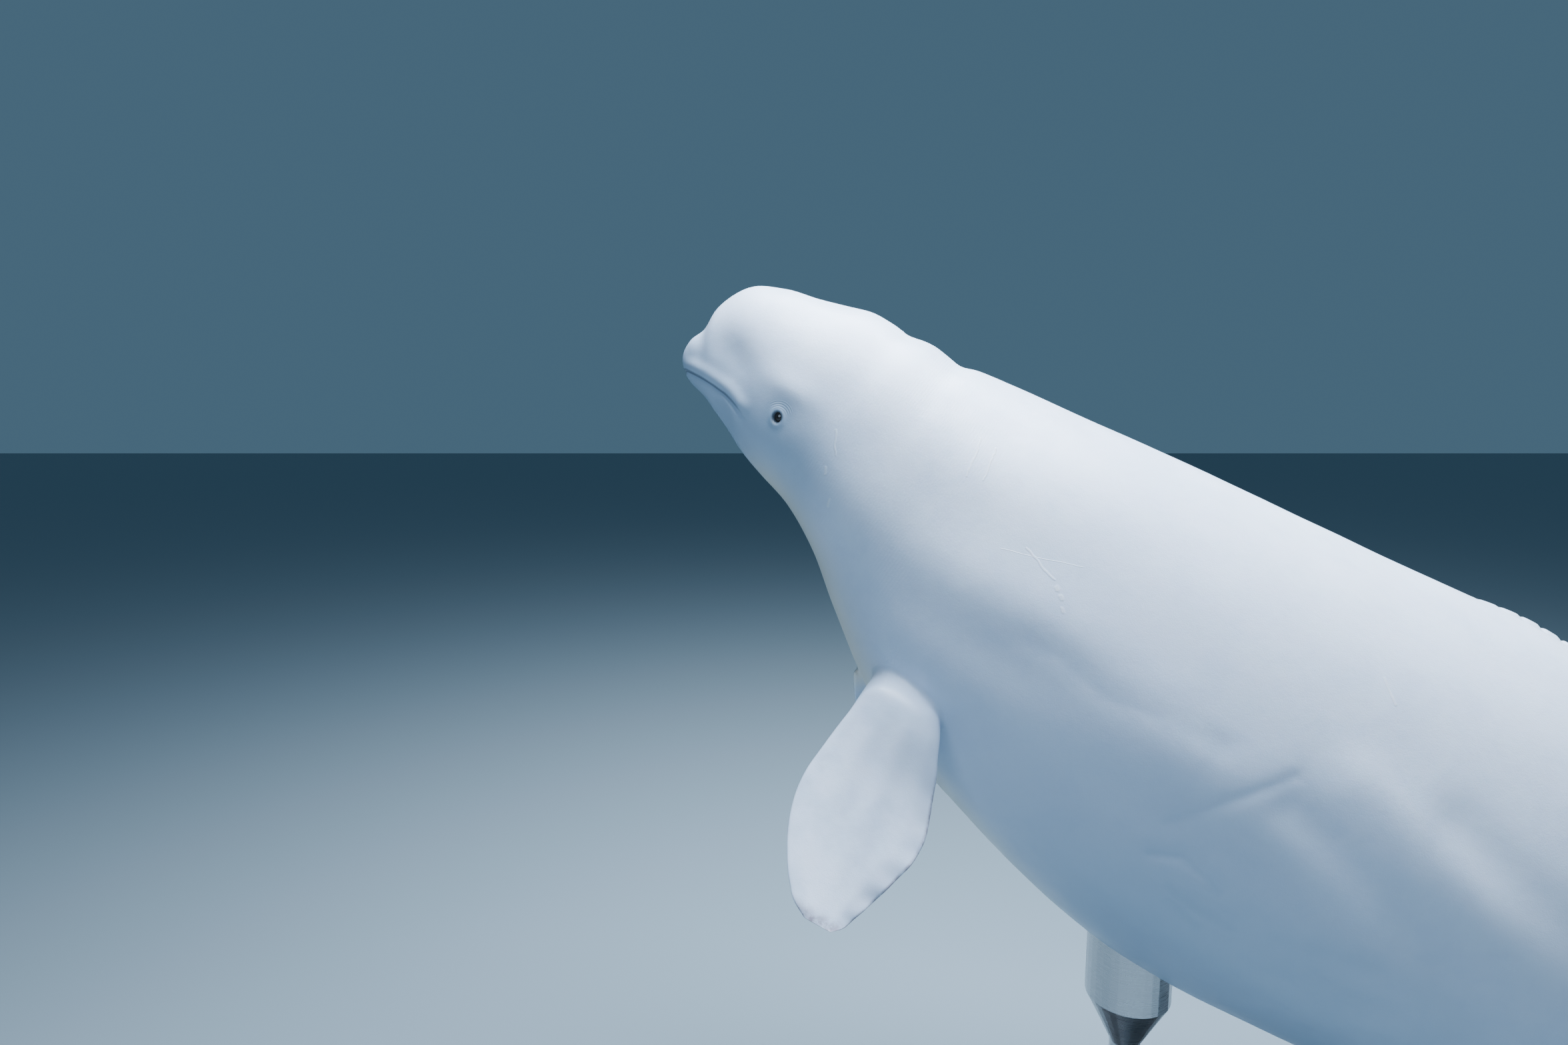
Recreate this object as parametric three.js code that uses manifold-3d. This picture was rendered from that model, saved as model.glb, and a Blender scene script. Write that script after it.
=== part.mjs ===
// A life-size beluga whale, swimming head-up, on a plain museum stand.
// The whale is first shaped straight, nose at x = 0 and tail towards +X, then bent and turned into its pose.
// All sizes are millimetres and all angles degrees unless a name says otherwise.
import * as THREE from 'three';
import Module from 'manifold-3d';

const wasm = await Module();
wasm.setup();

// Sizes of the whole model
const BODY_LENGTH = 4380;
const GAP = 0.3;
const SOCKET_GAP = 0.4;
const HALF_ROWS = 26;
const TAIL_HALF_ROWS = 18;

// Pose of the whale over the stand
const STRAIGHT_AT = 1400;
const POSE_CLIMB = 30.926;
const POSE_BANK = -11.762;
const POSE_TURN = -7.651;
const NECK_BEND = { from: 350, to: 950, turn: 4.481, dip: -4.886, roll: -0.987 };
const TAIL_BEND = { from: 2050, to: 4150, turn: 9, dip: -24, roll: 0 };
const SPINE_STEPS = 260;
const SPINE_FROM = -100;
const SPINE_TO = 4700;
const PLACE = new THREE.Vector3(-1560, 200, 2130);

// Cross-sections of the straight body: back edge and belly edge as [along, height], half width,
// the share of the height where the section is widest, and the roundness of its upper and lower half.
const SECTIONS = [
  { name: 'mouth', back: [22, -20], belly: [22, -20], half: 0, waist: 0.5, upper: 2, lower: 2 },
  { name: 'lips', back: [1, 4], belly: [45, -26], half: 40, waist: 0.48, upper: 2.2, lower: 2.2 },
  { name: 'beak', back: [-4, 44], belly: [76, -34], half: 72, waist: 0.45, upper: 2.2, lower: 2.2 },
  { name: 'brow', back: [9, 83], belly: [104, -43], half: 96, waist: 0.42, upper: 2.2, lower: 2.2 },
  { name: 'melon_front', back: [5, 138], belly: [128, -52], half: 116, waist: 0.42, upper: 2.1, lower: 2.2 },
  { name: 'melon_rise', back: [36, 213], belly: [157, -61], half: 138, waist: 0.43, upper: 2.1, lower: 2.2 },
  { name: 'melon_top', back: [103, 254], belly: [197, -73], half: 165, waist: 0.43, upper: 2.1, lower: 2.2 },
  { name: 'melon_rear', back: [178, 277], belly: [247, -89], half: 192, waist: 0.43, upper: 2.1, lower: 2.2 },
  { name: 'eyes', back: [265, 307], belly: [307, -106], half: 214, waist: 0.42, upper: 2.1, lower: 2.2 },
  { name: 'blowhole', back: [370, 327], belly: [388, -125], half: 232, waist: 0.43, upper: 2.1, lower: 2.2 },
  { name: 'throat', back: [480, 332], belly: [483, -170], half: 248, waist: 0.45, upper: 2.1, lower: 2.2 },
  { name: 'nape', back: [599, 352], belly: [592, -247], half: 270, waist: 0.47, upper: 2.1, lower: 2.1 },
  { name: 'shoulder', back: [800, 378], belly: [780, -373], half: 325, waist: 0.48, upper: 2.1, lower: 2.1 },
  { name: 'chest', back: [1050, 407], belly: [1037, -462], half: 378, waist: 0.48, upper: 2.1, lower: 2.1 },
  { name: 'trunk', back: [1399, 441], belly: [1394, -528], half: 425, waist: 0.48, upper: 2.1, lower: 2.1 },
  { name: 'belly', back: [1802, 480], belly: [1802, -499], half: 440, waist: 0.48, upper: 2.1, lower: 2.1 },
  { name: 'loin', back: [2307, 450], belly: [2302, -421], half: 400, waist: 0.49, upper: 2.1, lower: 2.1 },
  { name: 'vent', back: [2870, 350], belly: [2870, -318], half: 300, waist: 0.5, upper: 2, lower: 2 },
  { name: 'stock', back: [3420, 240], belly: [3420, -208], half: 178, waist: 0.5, upper: 2, lower: 2 },
  { name: 'thin_stock', back: [3850, 145], belly: [3850, -120], half: 92, waist: 0.5, upper: 2, lower: 2 },
  { name: 'fluke_root', back: [4170, 66], belly: [4170, -50], half: 50, waist: 0.5, upper: 2, lower: 2 },
  { name: 'notch', back: [4370, 12], belly: [4370, 0], half: 14, waist: 0.5, upper: 2, lower: 2 },
  { name: 'end', back: [BODY_LENGTH, 6], belly: [BODY_LENGTH, 6], half: 0, waist: 0.5, upper: 2, lower: 2 },
];

// Mouth line, lips and the hollow between melon and upper jaw
const MOUTH = { front: 22, rear: 214, frontHeight: -20, bow: 4, drop: -34, dropFrom: 150, fade: 36 };
const MOUTH_ROW = 10;
const MOUTH_ROW_OFFSETS = [0, 6, 13, 24, 38];
const GROOVE = { depth: 8, width: 5, cornerLead: 12 };
const UPPER_LIP = { over: 20, rise: 8, width: 15, from: -4, ease: 60 };
const LOWER_LIP = { over: -15, rise: 4, width: 10 };
const HOLLOW = { along: 120, height: 86, rise: -11, length: 60, width: 30 };
const CHEEK = { along: 262, height: -60, rise: 9, length: 80, width: 55 };
const BROW_FOLD = { along: 285, height: 62, rise: 6, length: 60, width: 26 };
const FLANK_FROM = 60;
const HEAD_RELIEF_TO = 420;

// Eyes
const EYE = { along: 277, height: 2, length: 13, tall: 10.5, deep: 10, sink: 4 };
const LID = { length: 17, tall: 14, thick: 5, lift: -1 };
const EYE_PIT = { depth: 5, width: 34 };

// Blowhole, folds of the nape and the low ridge along the back
const BLOWHOLE = { along: 372, half: 34, bow: 18, width: 5, depth: 26 };
const CROWN_FOLDS = [
  { along: 296, rise: 5, width: 34 },
  { along: 384, rise: -7, width: 26 },
  { along: 448, rise: 6, width: 30 },
  { along: 517, rise: -9, width: 22 },
];
const CROWN_WIDTH = 190;
const CROWN_FROM = 160;
const RIDGE = { from: 1560, to: 2800, rise: 30, width: 26, growOver: 300, fadeOver: 400 };
const NOTCH = { every: 62, deep: 9 };

// Where the body is parted, measured along the straight body
const PARTS = { neck: 470, chest: 900, belly: 1700, tail: 2900 };

// Flippers, in the straight frame of the left side
const FLIPPER = {
  root: [800, -215, -315],
  span: [0.067, -0.37, -0.927],
  chord: [0.993, -0.069, 0.099],
  stations: [
    { at: -95, front: -78, rear: 74, thick: 92 },
    { at: -40, front: -84, rear: 66, thick: 78 },
    { at: 20, front: -90, rear: 58, thick: 60 },
    { at: 60, front: -94, rear: 68, thick: 50 },
    { at: 102, front: -101, rear: 84, thick: 43 },
    { at: 150, front: -108, rear: 97, thick: 37 },
    { at: 200, front: -114, rear: 107, thick: 32 },
    { at: 250, front: -112, rear: 103, thick: 27 },
    { at: 300, front: -101, rear: 85, thick: 23 },
    { at: 345, front: -84, rear: 67, thick: 19 },
    { at: 385, front: -63, rear: 49, thick: 15 },
    { at: 412, front: -42, rear: 35, thick: 11 },
    { at: 425, front: -22, rear: 21, thick: 7 },
  ],
  tipCurl: 34,
  edgeCurl: 9,
  curlEvery: 34,
  sweep: { left: 0, right: 30 },
  rootSink: { left: 0, right: 0.8 },
  sinkFrom: 30,
};

// Tail flukes, in the straight frame: sideways position, leading and trailing edge along the body
const FLUKE = {
  height: 8,
  stations: [
    { at: GAP, front: 3960, rear: 4338, thick: 62 },
    { at: 45, front: 4000, rear: 4372, thick: 54 },
    { at: 110, front: 4075, rear: 4408, thick: 42 },
    { at: 190, front: 4150, rear: 4434, thick: 34 },
    { at: 280, front: 4224, rear: 4444, thick: 27 },
    { at: 370, front: 4290, rear: 4436, thick: 20 },
    { at: 445, front: 4342, rear: 4419, thick: 14 },
    { at: 490, front: 4378, rear: 4402, thick: 8 },
  ],
  tipCurl: 26,
};
const CHORD_STEPS = 12;
const SPAN_STEPS = 18;

// Stand
const BASE = { length: 1900, width: 900, thick: 40, bevel: 8, corner: 60 };
const ROD = { radius: 32, flange: 95, flangeThick: 16, flangeEdge: 5, weld: 9, segments: 32 };
const CUP = { radius: 88, coneRadius: 62, reachIn: 60, rimDown: 160, coneDown: 210, neckDown: 270 };
const ROD_FRONT_AT = -560;
const ROD_REAR_AT = 520;

// Colours and finishes
const SKIN = { color: 0xe6eaf0, roughness: 0.42, metalness: 0 };
const SKIN_FIN = { color: 0xd9dfe8, roughness: 0.45, metalness: 0 };
const EYEBALL = { color: 0x14161a, roughness: 0.08, metalness: 0 };
const STEEL = { color: 0x9a9ea3, roughness: 0.32, metalness: 0.9 };
const PLATE = { color: 0x2b2e33, roughness: 0.5, metalness: 0.2 };

const clamp01 = (t) => Math.min(1, Math.max(0, t));
const smooth = (t) => {
  const s = clamp01(t);
  return s * s * (3 - 2 * s);
};
const bell = (d, width) => Math.exp(-(d * d) / (width * width));
const rad = THREE.MathUtils.degToRad;

// Smooth curve through rows of numbers, with slopes taken from the neighbours
function smoothRows(knots, rows) {
  const slopes = rows.map((row, i) => row.map((value, k) => {
    if (i === 0) return (rows[1][k] - value) / (knots[1] - knots[0]);
    if (i === rows.length - 1) return (value - rows[i - 1][k]) / (knots[i] - knots[i - 1]);
    const before = knots[i] - knots[i - 1];
    const after = knots[i + 1] - knots[i];
    const slopeBefore = (value - rows[i - 1][k]) / before;
    const slopeAfter = (rows[i + 1][k] - value) / after;
    return (slopeBefore * after + slopeAfter * before) / (before + after);
  }));
  return (at) => {
    const u = Math.min(knots[knots.length - 1], Math.max(knots[0], at));
    let i = 0;
    while (i < knots.length - 2 && u >= knots[i + 1]) i += 1;
    const h = knots[i + 1] - knots[i];
    const s = (u - knots[i]) / h;
    const a = 2 * s ** 3 - 3 * s ** 2 + 1;
    const b = s ** 3 - 2 * s ** 2 + s;
    const c = -2 * s ** 3 + 3 * s ** 2;
    const d = s ** 3 - s ** 2;
    const ease = (value, k) => a * value + b * h * slopes[i][k] + c * rows[i + 1][k] + d * h * slopes[i + 1][k];
    return rows[i].map(ease);
  };
}

// Knots of the body: the mean length of the back and belly edges from the mouth on
const sectionRows = SECTIONS.map((s) => [...s.back, ...s.belly, s.half, s.waist, s.upper, s.lower]);
const sectionKnots = [0];
for (let i = 1; i < sectionRows.length; i += 1) {
  const [a, b] = [sectionRows[i - 1], sectionRows[i]];
  const step = (Math.hypot(b[0] - a[0], b[1] - a[1]) + Math.hypot(b[2] - a[2], b[3] - a[3])) / 2;
  sectionKnots.push(sectionKnots[i - 1] + step);
}
const sectionAt = smoothRows(sectionKnots, sectionRows);

// The knot value at which the middle of the body reaches a given distance from the nose
function knotAlong(along) {
  let low = 0;
  let high = sectionKnots[sectionKnots.length - 1];
  for (let i = 0; i < 50; i += 1) {
    const middle = (low + high) / 2;
    const s = sectionAt(middle);
    if ((s[0] + s[2]) / 2 < along) low = middle;
    else high = middle;
  }
  return (low + high) / 2;
}

// A point of the plain body; around runs from the belly edge (-90) over the side to the back edge (90)
function plainPoint(knot, around) {
  const [bx, bz, ex, ez, half, waist, upper, lower] = sectionAt(knot);
  const sine = Math.sin(rad(around));
  const cosine = Math.cos(rad(around));
  const centreX = ex + (bx - ex) * waist;
  const centreZ = ez + (bz - ez) * waist;
  const roundness = sine >= 0 ? upper : lower;
  const reach = Math.abs(sine) ** (2 / roundness);
  const edgeX = sine >= 0 ? bx : ex;
  const edgeZ = sine >= 0 ? bz : ez;
  const side = half * Math.max(0, Math.abs(cosine)) ** (2 / roundness) * Math.sign(cosine);
  return new THREE.Vector3(centreX + reach * (edgeX - centreX), side, centreZ + reach * (edgeZ - centreZ));
}

// Height of the mouth line over the axis of the straight body
function mouthHeight(along) {
  const t = clamp01((along - MOUTH.front) / (MOUTH.rear - MOUTH.front));
  const drop = smooth((along - MOUTH.dropFrom) / (MOUTH.rear + MOUTH.fade - MOUTH.dropFrom));
  return MOUTH.frontHeight + MOUTH.bow * Math.sin(Math.PI * t) + (MOUTH.drop - MOUTH.frontHeight) * drop;
}

// The angle at which a section crosses the mouth line
function mouthAngle(knot) {
  let low = -88;
  let high = 88;
  for (let i = 0; i < 40; i += 1) {
    const middle = (low + high) / 2;
    const p = plainPoint(knot, middle);
    if (p.z < mouthHeight(p.x)) low = middle;
    else high = middle;
  }
  return (low + high) / 2;
}

// How far the skin stands out from (or sinks below) the plain body
function relief(point, along) {
  let out = 0;
  const side = Math.abs(point.y);
  if (along < HEAD_RELIEF_TO) {
    const over = point.z - mouthHeight(point.x);
    const open = 1 - smooth((point.x - MOUTH.rear + GROOVE.cornerLead) / MOUTH.fade);
    const lipStart = smooth((point.x - UPPER_LIP.from) / UPPER_LIP.ease);
    out -= GROOVE.depth * bell(over, GROOVE.width) * open;
    out += UPPER_LIP.rise * bell(over - UPPER_LIP.over, UPPER_LIP.width) * open * lipStart;
    out += LOWER_LIP.rise * bell(over - LOWER_LIP.over, LOWER_LIP.width) * open;
    const flank = smooth(side / FLANK_FROM);
    const mound = (m) => bell(point.x - m.along, m.length) * bell(point.z - m.height, m.width) * flank;
    out += HOLLOW.rise * mound(HOLLOW) + CHEEK.rise * mound(CHEEK) + BROW_FOLD.rise * mound(BROW_FOLD);
    out -= EYE_PIT.depth * bell(Math.hypot(point.x - EYE.along, point.z - EYE.height), EYE_PIT.width) * flank;
  }
  if (point.z > 0) {
    const top = bell(side, CROWN_WIDTH) * smooth(point.z / CROWN_FROM);
    for (const fold of CROWN_FOLDS) out += fold.rise * bell(point.x - fold.along, fold.width) * top;
    const grown = smooth((point.x - RIDGE.from) / RIDGE.growOver);
    const faded = 1 - smooth((point.x - RIDGE.to + RIDGE.fadeOver) / RIDGE.fadeOver);
    const notch = Math.max(0, Math.cos((2 * Math.PI * point.x) / NOTCH.every)) ** 4;
    out += (RIDGE.rise - NOTCH.deep * notch) * grown * faded * bell(side, RIDGE.width);
  }
  return out;
}

// A point of the skin: the plain body plus its relief along the outward direction
function skinPoint(knot, around, lift = 0) {
  const p = plainPoint(knot, around);
  const stepKnot = 2;
  const stepAngle = 0.5;
  const a = plainPoint(knot + stepKnot, around).sub(plainPoint(Math.max(0.01, knot - stepKnot), around));
  const b = plainPoint(knot, around + stepAngle).sub(plainPoint(knot, around - stepAngle));
  const out = a.cross(b).normalize().negate();
  if (Math.abs(around) > 89.9) out.y = 0;
  const s = sectionAt(knot);
  return p.addScaledVector(out.normalize(), relief(p, (s[0] + s[2]) / 2) + lift);
}

// Spine of the pose: position and turning for each distance along the straight body
const spine = [];
{
  const bends = [NECK_BEND, TAIL_BEND];
  const turnAt = (along) => {
    let [turn, dip, roll] = [0, 0, 0];
    for (const bend of bends) {
      const w = smooth((along - bend.from) / (bend.to - bend.from))
        - smooth((STRAIGHT_AT - bend.from) / (bend.to - bend.from));
      turn += bend.turn * w;
      dip += bend.dip * w;
      roll += bend.roll * w;
    }
    return new THREE.Matrix4().makeRotationFromEuler(new THREE.Euler(rad(roll), rad(dip), rad(turn), 'ZYX'));
  };
  const step = (SPINE_TO - SPINE_FROM) / SPINE_STEPS;
  const position = new THREE.Vector3();
  let before = null;
  for (let i = 0; i <= SPINE_STEPS; i += 1) {
    const turn = turnAt(SPINE_FROM + i * step);
    const ahead = new THREE.Vector3(1, 0, 0).applyMatrix4(turn);
    if (before) position.addScaledVector(before.clone().add(ahead), step / 2);
    spine.push({ position: position.clone(), turn });
    before = ahead;
  }
  const anchorAt = (STRAIGHT_AT - SPINE_FROM) / step;
  const low = Math.floor(anchorAt);
  const anchor = spine[low].position.clone().lerp(spine[low + 1].position, anchorAt - low);
  const shift = new THREE.Vector3(STRAIGHT_AT, 0, 0).sub(anchor);
  for (const entry of spine) entry.position.add(shift);
}
const wholeTurn = new THREE.Matrix4().makeRotationFromEuler(
  new THREE.Euler(rad(POSE_BANK), rad(POSE_CLIMB), rad(POSE_TURN), 'ZYX'),
);

// Carries a point of the straight body into the pose
function posed(point) {
  const step = (SPINE_TO - SPINE_FROM) / SPINE_STEPS;
  const f = Math.min(SPINE_STEPS - 0.001, Math.max(0, (point.x - SPINE_FROM) / step));
  const i = Math.floor(f);
  const w = f - i;
  const side = new THREE.Vector3(0, point.y, point.z);
  const a = side.clone().applyMatrix4(spine[i].turn).add(spine[i].position);
  const b = side.clone().applyMatrix4(spine[i + 1].turn).add(spine[i + 1].position);
  return a.lerp(b, w).applyMatrix4(wholeTurn).add(PLACE);
}

// Angles of the rows round a section, from belly to back, gathered along the mouth line at the head
function rowAngles(knot, rows) {
  const even = Array.from({ length: rows + 1 }, (_, j) => -90 + (180 * j) / rows);
  const s = sectionAt(knot);
  const along = (s[0] + s[2]) / 2;
  const hold = 1 - smooth((along - MOUTH.rear + 10) / 190);
  if (hold <= 0 || rows !== HALF_ROWS) return even;
  const girth = Math.max(20, ((s[4] + Math.hypot(s[0] - s[2], s[1] - s[3]) / 2) / 2) * Math.PI);
  const middle = mouthAngle(knot);
  const offset = MOUTH_ROW_OFFSETS.map((mm, k) => Math.min((mm / girth) * 180, (k * 180) / rows));
  const reach = MOUTH_ROW_OFFSETS.length - 1;
  return even.map((angle, j) => {
    const k = j - MOUTH_ROW;
    let held;
    if (Math.abs(k) <= reach) held = middle + Math.sign(k) * offset[Math.abs(k)];
    else if (k < 0) held = -90 + ((middle - offset[reach] + 90) * j) / (MOUTH_ROW - reach);
    else held = 90 - ((90 - middle - offset[reach]) * (rows - j)) / (rows - MOUTH_ROW - reach);
    return angle + (held - angle) * hold;
  });
}

// One closed ring of skin points, right side up and left side down
function bodyRing(knot, rows, lift = 0) {
  const angles = rowAngles(knot, rows);
  const ring = [];
  for (let j = 0; j <= rows; j += 1) ring.push(skinPoint(knot, angles[j], lift));
  for (let j = rows - 1; j > 0; j -= 1) {
    const p = ring[j].clone();
    p.y = -p.y;
    ring.push(p);
  }
  ring[0].y = 0;
  ring[rows].y = 0;
  return ring.map(posed);
}

// Closed skin over a run of rings; an end is a single point or a flat cap
function closedLoft(rings, startPoint, endPoint) {
  const count = rings[0].length;
  const points = rings.flat();
  const faces = [];
  for (let i = 0; i + 1 < rings.length; i += 1) {
    for (let j = 0; j < count; j += 1) {
      const a = i * count + j;
      const b = i * count + ((j + 1) % count);
      faces.push([a, a + count, b], [b, a + count, b + count]);
    }
  }
  const centreOf = (ring) => ring.reduce((sum, p) => sum.add(p), new THREE.Vector3()).divideScalar(count);
  points.push(startPoint ?? centreOf(rings[0]), endPoint ?? centreOf(rings[rings.length - 1]));
  const last = (rings.length - 1) * count;
  for (let j = 0; j < count; j += 1) {
    const k = (j + 1) % count;
    faces.push([points.length - 2, j, k], [points.length - 1, last + k, last + j]);
  }
  return outward(points, faces);
}

// Turns the faces outwards if the enclosed volume comes out negative
function outward(points, faces) {
  let volume = 0;
  for (const [a, b, c] of faces) volume += points[a].dot(points[b].clone().cross(points[c]));
  return { points, faces: volume < 0 ? faces.map(([a, b, c]) => [a, c, b]) : faces };
}

// A thin blade from span stations; both faces are split into triangles alike
function blade(pointOf) {
  const points = [];
  const faces = [];
  const index = [];
  for (let i = 0; i <= SPAN_STEPS; i += 1) {
    const row = { upper: [], lower: [] };
    for (let j = 0; j <= CHORD_STEPS; j += 1) {
      row.upper.push(points.push(pointOf(i / SPAN_STEPS, j / CHORD_STEPS, 1)) - 1);
      if (j === 0 || j === CHORD_STEPS) row.lower.push(row.upper[j]);
      else row.lower.push(points.push(pointOf(i / SPAN_STEPS, j / CHORD_STEPS, -1)) - 1);
    }
    index.push(row);
  }
  const quad = (a, b, c, d, flip) => {
    for (const f of [[a, b, c], [a, c, d]]) {
      if (new Set(f).size === 3) faces.push(flip ? [f[0], f[2], f[1]] : f);
    }
  };
  for (let i = 0; i < SPAN_STEPS; i += 1) {
    for (let j = 0; j < CHORD_STEPS; j += 1) {
      for (const [side, flip] of [['upper', false], ['lower', true]]) {
        const [here, beyond] = [index[i][side], index[i + 1][side]];
        quad(here[j], beyond[j], beyond[j + 1], here[j + 1], flip);
      }
    }
  }
  for (const [row, flip] of [[index[0], false], [index[SPAN_STEPS], true]]) {
    for (let j = 0; j < CHORD_STEPS; j += 1) {
      quad(row.upper[j], row.upper[j + 1], row.lower[j + 1], row.lower[j], flip);
    }
  }
  return outward(points, faces);
}

// Solids for cutting and joining
function toSolid({ points, faces }) {
  const mesh = new wasm.Mesh({
    numProp: 3,
    vertProperties: new Float32Array(points.flatMap((p) => [p.x, p.y, p.z])),
    triVerts: new Uint32Array(faces.flat()),
  });
  return new wasm.Manifold(mesh);
}
function largestBody(solid) {
  return solid.decompose().reduce((best, body) => (body.volume() > best.volume() ? body : best));
}
function fromSolid(solid) {
  const mesh = largestBody(solid).getMesh();
  const geometry = new THREE.BufferGeometry();
  const positions = [];
  for (let i = 0; i < mesh.numVert; i += 1) {
    for (let k = 0; k < 3; k += 1) positions.push(mesh.vertProperties[i * mesh.numProp + k]);
  }
  geometry.setAttribute('position', new THREE.Float32BufferAttribute(positions, 3));
  geometry.setIndex(Array.from(mesh.triVerts));
  return geometry;
}
function toMesh(name, geometry, finish) {
  geometry.computeVertexNormals();
  const mesh = new THREE.Mesh(geometry, new THREE.MeshStandardMaterial(finish));
  mesh.name = name;
  return mesh;
}

// Body parts: runs of rings between two distances along the body
function bodySegment(from, to, steps, rows, { nose = false, tailEnd = false, lift = 0, ease = 1 } = {}) {
  const inset = lift > 0 ? -GAP : GAP / 2;
  const start = nose ? 0 : knotAlong(from) + inset;
  const end = tailEnd ? sectionKnots[sectionKnots.length - 1] : knotAlong(to) - inset;
  const rings = [];
  for (let i = nose ? 1 : 0; i <= steps - (tailEnd ? 1 : 0); i += 1) {
    rings.push(bodyRing(start + (end - start) * (i / steps) ** ease, rows, lift));
  }
  const first = nose ? posed(new THREE.Vector3(SECTIONS[0].back[0] - lift, 0, SECTIONS[0].back[1])) : null;
  const lastSection = SECTIONS[SECTIONS.length - 1];
  const last = tailEnd ? posed(new THREE.Vector3(BODY_LENGTH + lift, 0, lastSection.back[1])) : null;
  return closedLoft(rings, first, last);
}

// An ellipsoid set on the side of the head, flattened along the outward direction
function ellipsoid(centre, axes, radii, slices, stacks) {
  const rings = [];
  const at = (u, v) => {
    const p = centre.clone();
    p.addScaledVector(axes[0], radii[0] * Math.sin(u) * Math.cos(v));
    p.addScaledVector(axes[1], radii[1] * Math.sin(u) * Math.sin(v));
    return p.addScaledVector(axes[2], radii[2] * Math.cos(u));
  };
  for (let i = 1; i < stacks; i += 1) {
    const u = (Math.PI * i) / stacks;
    rings.push(Array.from({ length: slices }, (_, j) => at(u, (2 * Math.PI * j) / slices)));
  }
  return closedLoft(rings, at(0, 0), at(Math.PI, 0));
}

// A ring of flesh round the eye
function lidRing(centre, axes, radii, thick, slices, sides) {
  const points = [];
  const faces = [];
  for (let i = 0; i < slices; i += 1) {
    const v = (2 * Math.PI * i) / slices;
    for (let j = 0; j < sides; j += 1) {
      const w = (2 * Math.PI * j) / sides;
      const wide = thick * Math.cos(w) * (Math.cos(w) > 0 ? 1.7 : 0.8);
      const p = centre.clone();
      p.addScaledVector(axes[0], (radii[0] + wide) * Math.cos(v));
      p.addScaledVector(axes[1], (radii[1] + wide) * Math.sin(v));
      points.push(p.addScaledVector(axes[2], thick * Math.sin(w)));
      const a = i * sides + j;
      const b = i * sides + ((j + 1) % sides);
      const c = ((i + 1) % slices) * sides + ((j + 1) % sides);
      const d = ((i + 1) % slices) * sides + j;
      faces.push([a, b, c], [a, c, d]);
    }
  }
  return outward(points, faces);
}

// The place of the eye on the skin, with the directions along, up and out
function eyeFrame(side) {
  const near = (along, height) => {
    const knot = knotAlong(along);
    let low = -80;
    let high = 80;
    for (let i = 0; i < 40; i += 1) {
      const middle = (low + high) / 2;
      if (plainPoint(knot, middle).z < height) low = middle;
      else high = middle;
    }
    return skinPoint(knot, low);
  };
  const p = near(EYE.along, EYE.height);
  const ahead = near(EYE.along + 12, EYE.height).sub(near(EYE.along - 12, EYE.height)).normalize();
  const rising = near(EYE.along, EYE.height + 12).sub(near(EYE.along, EYE.height - 12)).normalize();
  const out = rising.clone().cross(ahead).normalize();
  if (out.y < 0) out.negate();
  const up = out.clone().cross(ahead).normalize();
  for (const v of [p, ahead, up, out]) v.y *= side;
  const centre = posed(p);
  const axes = [ahead, up, out].map((v) => posed(p.clone().addScaledVector(v, 10)).sub(centre).normalize());
  return { centre, axes };
}

// Head with eye sockets, lids and blowhole
const eyes = { left: eyeFrame(-1), right: eyeFrame(1) };
function eyeball(frame, grow) {
  const centre = frame.centre.clone().addScaledVector(frame.axes[2], -EYE.sink);
  const radii = [EYE.length + grow, EYE.tall + grow, EYE.deep + grow];
  return ellipsoid(centre, frame.axes, radii, 18, 10);
}
let headSolid = toSolid(bodySegment(0, PARTS.neck, 42, HALF_ROWS, { nose: true, ease: 1.15 }));
for (const frame of Object.values(eyes)) {
  const centre = frame.centre.clone().addScaledVector(frame.axes[2], LID.lift);
  headSolid = headSolid.add(toSolid(lidRing(centre, frame.axes, [LID.length, LID.tall], LID.thick, 24, 8)));
}
for (const frame of Object.values(eyes)) {
  headSolid = headSolid.subtract(toSolid(eyeball(frame, SOCKET_GAP)));
}

// The blowhole is a narrow crescent cut into the crown
function blowholeCutter() {
  const knot = knotAlong(BLOWHOLE.along);
  const top = skinPoint(knot, 90);
  const rings = [];
  const steps = 14;
  for (let i = 0; i <= steps; i += 1) {
    const t = (2 * i) / steps - 1;
    const wide = BLOWHOLE.width * Math.sqrt(1.05 - t * t);
    const x = top.x + BLOWHOLE.bow * (1 - t * t);
    const y = BLOWHOLE.half * t;
    const ring = [];
    for (const [dx, dz] of [[-1, 1], [1, 1], [1, -0.2], [0.4, -1], [-0.4, -1], [-1, -0.2]]) {
      ring.push(posed(new THREE.Vector3(x + dx * wide, y, top.z + dz * BLOWHOLE.depth * 0.5)));
    }
    rings.push(ring);
  }
  return closedLoft(rings, null, null);
}
headSolid = headSolid.subtract(toSolid(blowholeCutter()));

// The body behind the head; grown copies (lift above zero) trim the fins and rods with an even gap
const neckPart = (lift) => toSolid(bodySegment(PARTS.neck, PARTS.chest, 9, HALF_ROWS, { lift }));
const chestPart = (lift) => toSolid(bodySegment(PARTS.chest, PARTS.belly, 8, HALF_ROWS, { lift }));
const bellyPart = (lift) => toSolid(bodySegment(PARTS.belly, PARTS.tail, 9, HALF_ROWS, { lift }));
function tailPart(lift) {
  return toSolid(bodySegment(PARTS.tail, BODY_LENGTH, 13, TAIL_HALF_ROWS, { tailEnd: true, lift }));
}
const grownFront = neckPart(GAP).add(chestPart(GAP));
const grownBelly = bellyPart(GAP);
const grownTail = tailPart(GAP);

// Distance out along a fin for a share of its length; the steps get shorter towards the tip
function finReach(share, stations) {
  const first = stations[0].at;
  const last = stations[stations.length - 1].at;
  const bent = (t) => Math.sin((Math.PI / 2) * 0.98 * t);
  return first + ((last - first) * bent(share)) / bent(1);
}

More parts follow.
